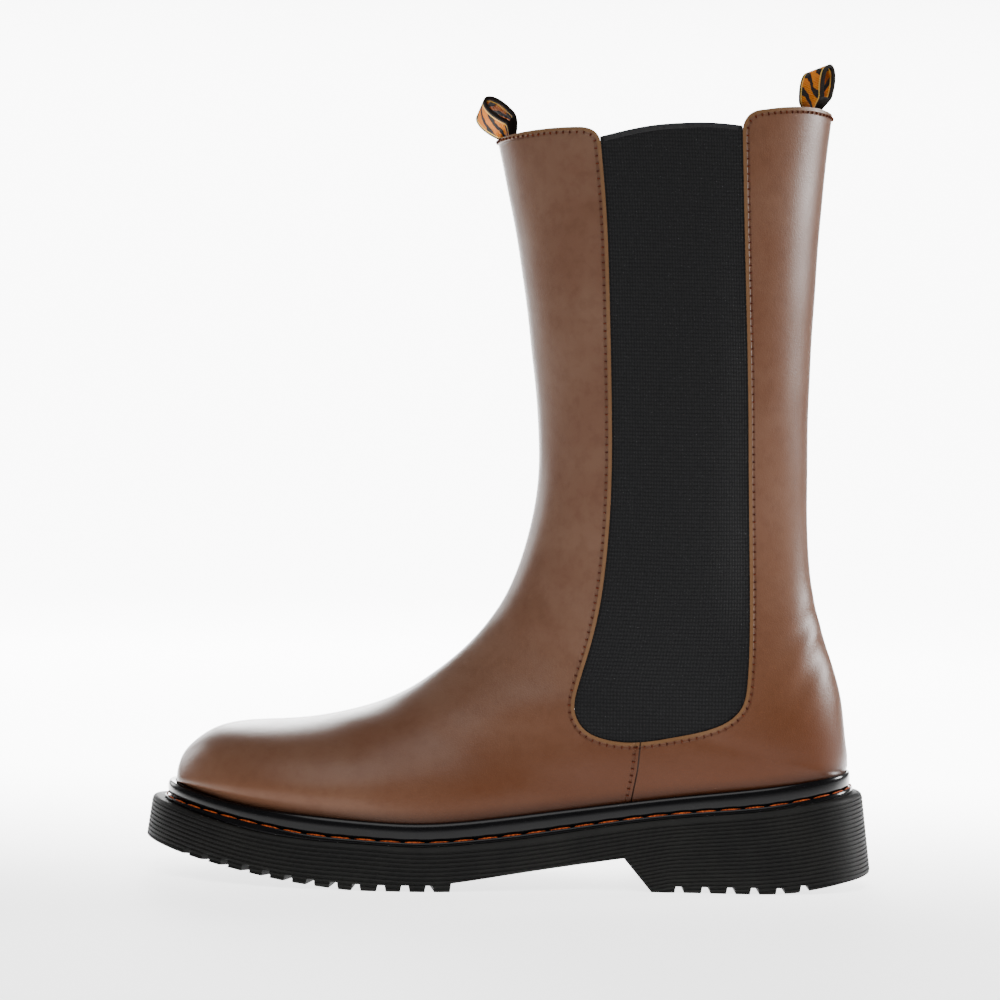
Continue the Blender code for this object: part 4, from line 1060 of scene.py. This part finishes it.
class Skin:
    """The upper's outer face, to set things down on; rays start inside the boot."""

    INSIDE_X, INSIDE_Y = 50.0, -4.0

    def __init__(self, points, faces):
        self.tree = BVHTree.FromPolygons([tuple(map(float, point)) for point in points], faces)

    def cast(self, start, way):
        spot, normal, _, _ = self.tree.ray_cast(Vector(start), Vector(way))
        if spot is None:
            raise ValueError("no surface at %s" % (start,))
        normal = np.array(normal)
        return np.array(spot), normal if normal @ np.array(way) > 0 else -normal

    def side(self, x, z, side):
        """Point and outward normal at a place in side view."""
        return self.cast((x, self.INSIDE_Y, z), (0.0, side, 0.0))

    def end(self, y, z, way):
        """The same on the front (way -1) or back (way 1) of the shaft."""
        return self.cast((self.INSIDE_X, y, z), (way, 0.0, 0.0))


# ---- outlines in side view

def shifted(line, out):
    """A line moved to the right of its run."""
    return line + out * turned_right(unit(np.gradient(line, axis=0)))


def bent(start, corner, end, steps=10):
    """Curve from start to end that bends round a corner."""
    start, corner, end = (np.array(point, float) for point in (start, corner, end))
    shares = np.linspace(0, 1, steps + 1)[:, None]
    return (1 - shares) ** 2 * start + 2 * shares * (1 - shares) * corner + shares ** 2 * end


def cut_line(shift=0.0):
    """The leather's top edge in side view: front collar, round the gore, back collar."""
    edge = path_spline(GORE_EDGE, 260)
    ahead = np.arange(len(edge)) < len(edge) // 2
    below = np.flatnonzero(edge[:, 1] < np.where(ahead, FRONT_CORNER[1], BACK_CORNER[1]) - CORNER)
    edge = edge[below[0]:below[-1] + 1]
    front = path_spline(FRONT_COLLAR, 30)
    front = front[front[:, 0] < FRONT_CORNER[0] - CORNER]
    back = path_spline(BACK_COLLAR, 30)
    back = back[back[:, 0] > BACK_CORNER[0] + CORNER]
    line = np.concatenate([front, bent(front[-1], FRONT_CORNER, edge[0])[1:], edge[1:],
                           bent(edge[-1], BACK_CORNER, back[0])[1:-1], back])
    return shifted(line, shift)


def line_distance(points, line):
    """Distance of points from a line, both in side view."""
    best = np.full(len(points), 1e9)
    for a, b in zip(line, line[1:]):
        run = b - a
        share = np.clip(((points - a) @ run) / (run @ run), 0, 1)
        best = np.minimum(best, np.linalg.norm(points - a - share[:, None] * run, axis=1))
    return best


# ---- leather, gores and their sewing

def make_upper(points, faces):
    """Leather upper with its lining, open at the collar, the gores and underneath."""
    surfaces = [leather_material(), lining_material(), edge_material()]
    upper = mesh_object("upper_leather", points, faces, surfaces, 60.0)
    solidify(upper, WALL, 1)
    line = cut_line()
    shape = [*map(tuple, line), (BACK_COLLAR[-1][0], CLEAR_Z), (FRONT_COLLAR[0][0], CLEAR_Z)]
    cutter = prism("cut_collar", shape, -90, 90)
    boolean(upper, cutter)
    apply_all(upper, [cutter])
    for face in upper.data.polygons:
        if not face.use_smooth:
            face.material_index = 2          # the cut leaves flat faces along the edge
    placed = vertex_points(upper)
    flat = placed[:, [0, 2]]
    seam = np.array(SEAM)[::-1]
    store(upper, "edge_mm", line_distance(flat, line))
    store(upper, "seam_mm", np.interp(flat[:, 1], seam[:, 1], seam[:, 0]) - flat[:, 0])
    store(upper, "low_mm", flat[:, 1] - feather_z(flat[:, 0]))
    return upper


def make_gore(name, side, rings, normals, surface):
    """Elastic knit panel, a little below the leather's face."""
    sunk = rings - normals * GORE_SINK
    rows, columns = rings.shape[:2]
    numbers, points, faces = {}, [], []
    for r in range(rows - 1):
        for k in range(columns - 1):
            corners = [(r, k), (r, k + 1), (r + 1, k + 1), (r + 1, k)]
            x, y, z = np.mean([rings[corner] for corner in corners], axis=0)
            if not (GORE_X[0] < x < GORE_X[1] and GORE_Z[0] < z < GORE_Z[1] and y * side > 5):
                continue
            for corner in corners:
                if corner not in numbers:
                    numbers[corner] = len(points)
                    points.append(sunk[corner])
            faces.append(tuple(numbers[corner] for corner in corners))
    gore = mesh_object(name, points, faces, [surface], 60.0)
    if sum(face.normal.y for face in gore.data.polygons) * side < 0:
        gore.data.flip_normals()
    solidify(gore, GORE_THICKNESS)
    edge = shifted(path_spline(GORE_EDGE, GORE_STEPS), GORE_GROW)
    edge = edge[(edge[:, 1] < GORE_TOP[0][1]) | (edge[:, 0] > 60) & (edge[:, 1] < GORE_TOP[-1][1])]
    top = path_spline(GORE_TOP, 24)[::-1]
    cutter = prism("keep_gore", [tuple(point) for point in (*edge, *top)], *sorted((0.0, side * 80.0)))
    boolean(gore, cutter, 'INTERSECT')
    apply_all(gore, [cutter])
    placed = vertex_points(gore)
    front, back = gore_edges(placed[:, 2])
    width = (placed[:, 0] - front) / (back - front)
    store(gore, "rib_v", placed[:, 2] - RIB_BOW * (width - 0.5) ** 2)
    store(gore, "rib_u", width * GORE_WIDTH)
    return gore


def gore_edges(heights):
    """x of the gore's front and back edge at some heights."""
    line = path_spline(GORE_EDGE, GORE_STEPS)
    lowest = int(np.argmin(line[:, 1]))
    front, back = line[:lowest + 1][::-1], line[lowest:]
    heights = np.clip(heights, 76.0, 284.0)      # above its rounded foot
    return np.interp(heights, front[:, 1], front[:, 0]), np.interp(heights, back[:, 1], back[:, 0])


def edge_row(skin, shift):
    """Closed row round both panels, a little in from their edge: points and outward normals."""
    line = cut_line(shift)
    line = line[(line[:, 0] > COLLAR_SIDES[0]) & (line[:, 0] < COLLAR_SIDES[1])]
    lateral, medial = ([skin.side(x, z, side) for x, z in line] for side in (-1, 1))
    front = ends_between(skin, medial[0][0], lateral[0][0], -1)
    back = ends_between(skin, lateral[-1][0], medial[-1][0], 1)
    return spots_and_outs([*lateral, *back, *medial[::-1], *front, lateral[0]])


def spots_and_outs(row):
    """A row of (point, normal) as two arrays."""
    return np.array([spot for spot, _ in row]), np.array([out for _, out in row])


def ends_between(skin, start, stop, way, steps=40):
    """Points round the front or back of the collar, from start to stop."""
    run = stop - start
    return [skin.end(start[1] + run[1] * k / steps, start[2] + run[2] * k / steps, way)
            for k in range(1, steps)]


def seam_row(skin, side):
    """Row along the front panel's edge under the gore."""
    line = shifted(path_spline(SEAM, 30), STITCH_IN)
    line = line[line[:, 1] > feather_z(line[:, 0]) + 1.5]      # stops short of the bead
    return spots_and_outs([skin.side(x, z, side) for x, z in line])


def make_binding(name, side, skin, surface):
    """Woven selvedge along the top of a gore."""
    line = path_spline(GORE_TOP, 40)[1:-1]
    path, outs = spots_and_outs([skin.side(x, z - BINDING_HEIGHT / 2, side) for x, z in line])
    path -= outs * (GORE_SINK + GORE_THICKNESS / 2)
    half, thick = BINDING_HEIGHT / 2, GORE_THICKNESS / 2 + BINDING_PROUD
    turn = np.arange(BINDING_SIDES) * 2 * np.pi / BINDING_SIDES
    profile = [(half * swollen(math.cos(a), BINDING_EDGE), thick * swollen(math.sin(a), BINDING_EDGE))
               for a in turn]
    return sweep(name, path, outs, profile, surface)


# ---- welt and sole

def underside():
    """Side view of everything under the sole, for cutting its lower face."""
    toe, heel = ([(x, base_z(x).item()) for x in np.linspace(table[0][0], table[-1][0], count)]
                 for table, count in ((TOE_SPRING, 13), (HEEL_BEVEL, 7)))
    below = [(heel[-1][0], -40), (toe[0][0], -40)]
    return [*toe, (TREAD_END, 0.0), *WAIST, (HEEL_FRONT, 0.0), *heel, *below]


def notch_places():
    """x of each side notch, with whether it is under the heel."""
    x = FORE_LAST_NOTCH
    for step in range(FORE_NOTCHES):
        yield x, False
        x -= FORE_PITCH - FORE_PITCH_LOSS * step
    for step in range(HEEL_NOTCHES):
        yield HEEL_FIRST_NOTCH + HEEL_PITCH * step, True


def notch_body(outer, inner, points, faces):
    """One trapezoid channel from outside the outline to its inner end."""
    along = np.array([inner[0] - outer[0], inner[1] - outer[1]])
    across = np.array([-along[1], along[0]]) / np.linalg.norm(along)
    first = len(points)
    for x, y in (outer, inner):
        base = base_z(x).item()
        for width, height in ((-NOTCH_FOOT, -1.0), (-NOTCH_TOP, LUG_DEPTH), (NOTCH_TOP, LUG_DEPTH),
                              (NOTCH_FOOT, -1.0)):
            place = np.array([x, y]) + across * width / 2
            points.append((place[0], place[1], base + height))
    faces += [tuple(first + k for k in face) for face in (
        (0, 1, 2, 3), (7, 6, 5, 4), (0, 4, 5, 1), (1, 5, 6, 2), (2, 6, 7, 3), (3, 7, 4, 0))]


def notches():
    """All side notches and the grooves between the middle lugs."""
    points, faces = [], []
    for side in (-1, 1):
        edge = outline(side * SIDE_ANGLES)
        inside = outline(side * SIDE_ANGLES, inset=1.0)
        for x, under_heel in notch_places():
            k = int(np.argmin(abs(edge[:, 0] - x)))
            inward = inside[k] - edge[k]
            if under_heel:
                inward = np.array([0.0, -side * 1.0])
            reach = NOTCH_REACH * (0.55 + 0.45 * abs(inward[1]))    # shorter where they slant
            notch_body(edge[k] - inward * 4, edge[k] + inward * reach, points, faces)
    for lateral, medial in middle_grooves():
        notch_body(lateral, medial, points, faces)
    return points, faces


def middle_grooves():
    """Both ends of each groove across the middle, half a step from the side notches."""
    places = sorted(x for x, _ in notch_places())
    edges = [(side, outline(side * SIDE_ANGLES)) for side in (-1, 1)]
    for before, after in zip(places, places[1:]):
        x = (before + after) / 2
        if after - before < WAIST_STEP and x > FIRST_GROOVE:
            yield [(x, edge[np.argmin(abs(edge[:, 0] - x)), 1] - side * (NOTCH_REACH + GROOVE_GAP))
                   for side, edge in edges]


def even_angles():
    """Outline angles whose points lie evenly round the sole, from the toe by the medial side."""
    dense = np.linspace(0, 360, 7201)
    signed = np.where(dense > 180, dense - 360, dense)
    signed[3600] = 180.0
    edge = outline(signed)
    length = lengths_along(edge)
    at = np.interp(np.arange(FINE_OUTLINE) * length[-1] / FINE_OUTLINE, length, dense)
    return np.where(at > 180, at - 360, at)


def make_welt(angles, surface):
    """Rounded glossy bead over a stitched strip."""
    inset = outline_columns(angles)[:, 2]
    bead = bead_out(outline(angles, from_feather=0.0)[:, 0])
    strip = np.minimum(bead + WELT_STRIP, inset - WELT_GAP)
    points = []
    for step in range(BEAD_STEPS + 1):
        a = math.pi * step / BEAD_STEPS
        out = WELT_GAP + (bead - WELT_GAP) * abs(math.sin(a)) ** BEAD_FULLNESS
        ring = outline(angles, from_feather=-out)
        top, foot = feather_z(ring[:, 0]) + BEAD_OVER, bead_foot_z(ring[:, 0]) + 0.1
        points += lifted(ring, top + (foot - top) * (1 - swollen(math.cos(a), BEAD_EDGE)) / 2)
    # the strip's upper face and chamfered edge, its foot, and back under the upper
    for out, line, over in ((strip - 0.4, bead_foot_z, -0.1), (strip, bead_foot_z, -0.5),
                            (strip, rim_z, GAP), (strip * 0 + WELT_GAP - TUCK_INSET, rim_z, GAP)):
        ring = outline(angles, from_feather=-out)
        points += lifted(ring, line(ring[:, 0]) + over)
    count = len(angles)
    total = len(points)
    faces = [tuple(number % total for number in face) for face in ring_faces(total // count + 1, count)]
    return mesh_object("welt_bead", points, faces, [surface], 50.0)


def welt_row(angles):
    """Line of the welt's stitches at the bead's foot, with outward normals."""
    out = bead_out(outline(angles, from_feather=0.0)[:, 0]) + WELT_THREAD_OUT
    ring = outline(angles, from_feather=-out)
    outer = outline(angles, from_feather=-out - 1)
    points = np.column_stack([ring, bead_foot_z(ring[:, 0])])
    outs = np.column_stack([outer - ring, np.full(len(ring), 0.6)])
    return np.vstack([points, points[:1]]), unit(np.vstack([outs, outs[:1]]))


def make_outsole(angles, surface):
    """Moulded sole: finely ribbed side, toe spring, waist, heel and lugs."""
    rim = outline(angles, from_rim=0.0)
    floor = outline(angles)
    inward = outline(angles, from_rim=1.0) - rim
    tall = rim_z(rim[:, 0]) - base_z(rim[:, 0])
    stretch = read_pairs(rim[:, 0], RIB_STRETCH)
    lip = read_pairs(rim[:, 0], LIPS)
    deepest = rim_z(SOLE_LENGTH / 2)[0] + 3      # past the floor at the heel, where the sole is tallest
    round_size = read_pairs(rim[:, 0], RIM_ROUNDS)
    depths = [(share * lip, 0.0) for share in LIP_ROWS]
    for rib in range(int((deepest - 1) / SIDE_RIB_PITCH) + 1):
        for share, sunk in SIDE_RIB:
            depths.append((lip + (rib + share) * SIDE_RIB_PITCH, sunk * SIDE_RIB_DEPTH))
    points = []
    for depth, sunk in depths:
        lean = np.clip(depth * stretch / tall, 0, 1.1)[:, None]
        corner = np.clip(1 - depth / round_size, 0, 1)
        sunk = sunk + round_size * (1 - np.sqrt(1 - corner ** 2))
        ring = rim + (floor - rim) * lean + inward * sunk[:, None]
        points += lifted(ring, rim_z(ring[:, 0]) - depth * stretch)
    count = len(angles)
    faces = ring_faces(len(depths), count) + cap_faces(0, count)
    faces += cap_faces((len(depths) - 1) * count, count)
    sole = mesh_object("sole_ribbed", points, faces, [surface], 40.0)
    cut_points, cut_faces = notches()
    cutters = [prism("cut_underside", underside(), -80, 80),
               mesh_object("cut_notches", cut_points, cut_faces)]
    cutters[1].data.shade_flat()
    for cutter in cutters:
        boolean(sole, cutter)
    apply_all(sole, cutters)
    return sole


# ---- pull loops

def loop_outlines():
    """Edge view of the folded tape as (out, height): its outer line and its hole."""
    turn = np.linspace(0, 2 * np.pi, 2 * LOOP_STEPS + 1)
    sign = np.where(turn < np.pi, 1.0, -1.0)
    swell = np.sin(turn) * np.sin(turn / 2) / 0.77      # a teardrop, 1 at its widest
    out = (LOOP_WIDTH - TAPE_THICKNESS) / 2 * swell + sign * TAPE_THICKNESS / 4 * (1 + np.cos(turn))
    out[LOOP_STEPS] = 0.0
    height = (LOOP_LENGTH - TAPE_THICKNESS / 2) * (1 - np.cos(turn)) / 2
    middle = np.stack([out, height], axis=1)
    along = np.gradient(middle, axis=0)
    along[[0, -1]] = (0.0, 1.0), (0.0, -1.0)
    away = turned_right(unit(along)) * TAPE_THICKNESS / 2
    return middle + away, (middle - away)[HOLE_START:len(turn) - HOLE_START]


def loop_section():
    """Points (out, height) of the tape's edge view and the faces that fill it."""
    outer, hole = loop_outlines()
    count = len(outer)
    points = [tuple(point) for point in outer] + [tuple(point) for point in hole]
    inner = {k: count + k - HOLE_START for k in range(HOLE_START, count - HOLE_START)}
    faces = [(k, k + 1, inner[k + 1], inner[k]) for k in range(HOLE_START, count - HOLE_START - 1)]
    faces += [(k, k + 1, count - k - 2, count - k - 1) for k in range(HOLE_START)]
    faces.append((HOLE_START, inner[HOLE_START], inner[count - HOLE_START - 1], count - HOLE_START - 1))
    below = (0, count - 1)
    for depth in (TAB_DEPTH / 2, TAB_DEPTH):
        first = len(points)
        points += [(TAPE_THICKNESS, -depth), (-TAPE_THICKNESS, -depth)]
        faces.append((below[0], below[1], first + 1, first))
        below = (first, first + 1)
    lengths = list(np.linspace(0, 2.3 * LOOP_LENGTH, count))      # up one side and down the other
    lengths += lengths[HOLE_START:count - HOLE_START]
    lengths += [-TAB_DEPTH / 2, -TAB_DEPTH / 2, -TAB_DEPTH, -TAB_DEPTH]
    return points, faces, lengths


def loop_place(out, height, across, lean, twist, drop, rake):
    """Where a point of the straight tape goes once the loop leans, twists and sags.

    Below the bend the tab follows the rake of the shaft's wall.
    """
    share = min(max(height / LOOP_BEND, 0.0), 1.0)
    share = share * share * (3 - 2 * share)
    high = max(height, 0.0)
    bend = math.radians(lean) * min(high / LOOP_BEND, 1.0)
    arc = min(high, LOOP_BEND)
    rate = math.radians(lean) / LOOP_BEND
    side = (1 - math.cos(rate * arc)) / rate
    rise = math.sin(rate * arc) / rate
    rest = max(high - LOOP_BEND, 0.0)
    side += rest * math.sin(bend) + out * math.cos(bend) + rake * min(height + LOOP_LIFT, 0.0)
    rise += rest * math.cos(bend) - out * math.sin(bend) + min(height, 0.0)
    rise -= across * math.sin(math.radians(drop) * share)
    across *= math.cos(math.radians(drop) * share)
    turn = math.radians(twist) * share
    return side * math.cos(turn) - across * math.sin(turn), \
        side * math.sin(turn) + across * math.cos(turn), rise


def collar_place(y, at_front):
    """Inner face of the collar at a y: the point, the direction out, the edge's height, the rake."""
    ring = section(UPPER_PLACES[0] + 12.0, HALF_STEPS)
    front = ring[HALF_STEPS // 2:-HALF_STEPS // 2]
    back = np.concatenate([ring[:HALF_STEPS // 2][::-1], ring[-HALF_STEPS // 2:][::-1]])
    part = front if at_front else back
    part = part[np.argsort(part[:, 1])]
    x = np.interp(y, part[:, 1], part[:, 0])
    reach = TAPE_WIDTH / 2
    slope = np.interp((y - reach, y + reach), part[:, 1], part[:, 0])
    away = np.array([2 * reach, slope[0] - slope[1]]) / math.hypot(2 * reach, slope[0] - slope[1])
    if at_front:
        away = -away
    line = np.array(FRONT_COLLAR if at_front else BACK_COLLAR, float)
    edge = spline(line[:, 0], line[:, 1], x)[0]
    column = 0 if at_front else 3
    (top_x, top_z), (low_x, low_z) = UPPER_KEYS[0, column:column + 2], UPPER_KEYS[1, column:column + 2]
    return np.array([x, y]) - away * (WALL + GAP), away, edge, abs((low_x - top_x) / (top_z - low_z))


def boundary_loops(faces):
    """Edges that only one face uses, each in the direction its face goes round."""
    edges = [(face[k], face[(k + 1) % len(face)]) for face in faces for k in range(len(face))]
    both = set(edges)
    return [(b, a) for a, b in edges if (b, a) not in both]


def make_loop(name, y, at_front, lean, twist, drop, surface):
    """Folded tape: a tab inside the collar and a teardrop loop above it."""
    flat, faces, lengths = loop_section()
    inner, away, edge, rake = collar_place(y, at_front)
    along = np.array([-away[1], away[0]])
    handed = 1.0 if along[1] > 0 else -1.0
    points, tape_s, tape_w = [], [], []
    for strip in range(TAPE_STRIPS + 1):
        across = TAPE_WIDTH * (strip / TAPE_STRIPS - 0.5)
        for (out, height), length in zip(flat, lengths):
            side, over, rise = loop_place(out, height, across, lean, twist * handed, drop, rake)
            spot = inner + away * (side - LOOP_SEAT) + along * handed * over
            points.append((spot[0], spot[1], edge + LOOP_LIFT + rise))
            tape_s.append(length)
            tape_w.append(across)
    count = len(flat)
    whole = list(faces) + [tuple(k + count * TAPE_STRIPS for k in reversed(face)) for face in faces]
    for strip in range(TAPE_STRIPS):
        here = strip * count
        whole += [(here + a, here + b, here + b + count, here + a + count) for a, b in boundary_loops(faces)]
    made = mesh_object(name, points, whole, [surface], 50.0)
    store(made, "tape_s", tape_s)
    store(made, "tape_w", tape_w)
    return made


# ---- floor, light, camera

def make_stage():
    """Pale floor that curves up into a backdrop far behind."""
    profile = [(-4000.0, 0.0), (SWEEP, 0.0)]
    profile += [(SWEEP + SWEEP * math.sin(a), SWEEP - SWEEP * math.cos(a))
                for a in np.linspace(0.1, math.pi / 2, 16)]
    profile.append((2 * SWEEP, 5000.0))
    points = [(x, y, z) for y, z in profile for x in (-6000.0, 6000.0)]
    faces = [(2 * k, 2 * k + 1, 2 * k + 3, 2 * k + 2) for k in range(len(profile) - 1)]
    floor = mesh_object("floor", points, faces, [floor_material()])


def add_light(name, spot, aim, size, power):
    """Square soft light at a place in millimetres, turned to its aim."""
    lamp = bpy.data.lights.new(name, 'AREA')
    lamp.size = size * MM
    lamp.energy = power
    made = bpy.data.objects.new(name, lamp)
    made.location = Vector(spot) * MM
    made.rotation_euler = (Vector(aim) - Vector(spot)).to_track_quat('-Z', 'Y').to_euler()
    bpy.context.scene.collection.objects.link(made)


def light_scene():
    """Dim even surround and soft lamps: one behind and above, one behind each end of the boot,
    and a broad one above the viewer."""
    world = bpy.data.worlds.new("studio")
    bpy.context.scene.world = world
    world.use_nodes = True
    backdrop = world.node_tree.nodes["Background"]
    backdrop.inputs["Color"].default_value = (1.0, 1.0, 1.0, 1.0)
    backdrop.inputs["Strength"].default_value = WORLD_LIGHT
    for row in LIGHTS:
        add_light(*row)


def place_camera():
    """Camera in front of the boot's outer side, about level with its middle."""
    lens = bpy.data.cameras.new("camera")
    lens.sensor_width = 36.0
    lens.lens = LENS
    lens.clip_end = 100.0
    made = bpy.data.objects.new("camera", lens)
    bpy.context.scene.collection.objects.link(made)
    made.location = Vector(CAMERA) * MM
    made.rotation_mode = 'XYZ'
    made.rotation_euler = (math.radians(90.0 - CAMERA_DIP), math.radians(CAMERA_ROLL), 0.0)
    bpy.context.scene.camera = made


def main():
    """Load the frame and build every piece over it."""
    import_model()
    place_camera()
    make_stage()
    light_scene()

    plain = fine_rings()
    normals = grid_normals(plain)
    rings = plain + normals * relief(plain, normals)[..., None]
    points, faces = upper_sheet(rings)
    skin = Skin(points, faces)
    knit, woven = knit_material(), binding_material()
    brown_thread = thread_material("leather_thread", (50, 18, 7), (88, 38, 16), 900.0)
    welt_thread = thread_material("welt_thread", (92, 34, 10), (166, 74, 26), 1300.0)
    angles = even_angles()

    pieces = [
        # piece, CAD nodes it stands for, material slot
        (make_upper(points, faces), ("upper",), "leather"),
        (make_gore("gore_knit_lateral", -1, plain, normals, knit), ("gore_lateral",), "elastic"),
        (make_gore("gore_knit_medial", 1, plain, normals, knit), ("gore_medial",), "elastic"),
        (make_binding("gore_edge_lateral", -1, skin, woven), (), "elastic"),
        (make_binding("gore_edge_medial", 1, skin, woven), (), "elastic"),
        (stitches("panel_stitches", [edge_row(skin, STITCH_IN), seam_row(skin, -1), seam_row(skin, 1)],
                  STITCH_PITCH, STITCH_LENGTH, STITCH_THREAD, STITCH_SINK, brown_thread), (), "leather"),
        (make_welt(angles, gloss_material()), ("welt",), "welt_rubber"),
        (stitches("welt_stitches", [welt_row(angles)], WELT_STITCH_PITCH, WELT_STITCH_LENGTH,
                  WELT_THREAD, WELT_THREAD_SINK, welt_thread), (), "welt_rubber"),
        (make_outsole(angles, rubber_material()), ("outsole",), "rubber"),
    ]
    tape = tape_material()
    for row in LOOPS:
        pieces.append((make_loop(row[0] + "_tape", *row[1:], tape), (row[0],), "tape"))
    for piece, nodes, slot in pieces:
        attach(piece, "root")
        if nodes:
            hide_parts(*nodes)
    insole = bpy.data.objects["insole"]
    insole.data.materials.clear()
    insole.data.materials.append(footbed_material())


main()
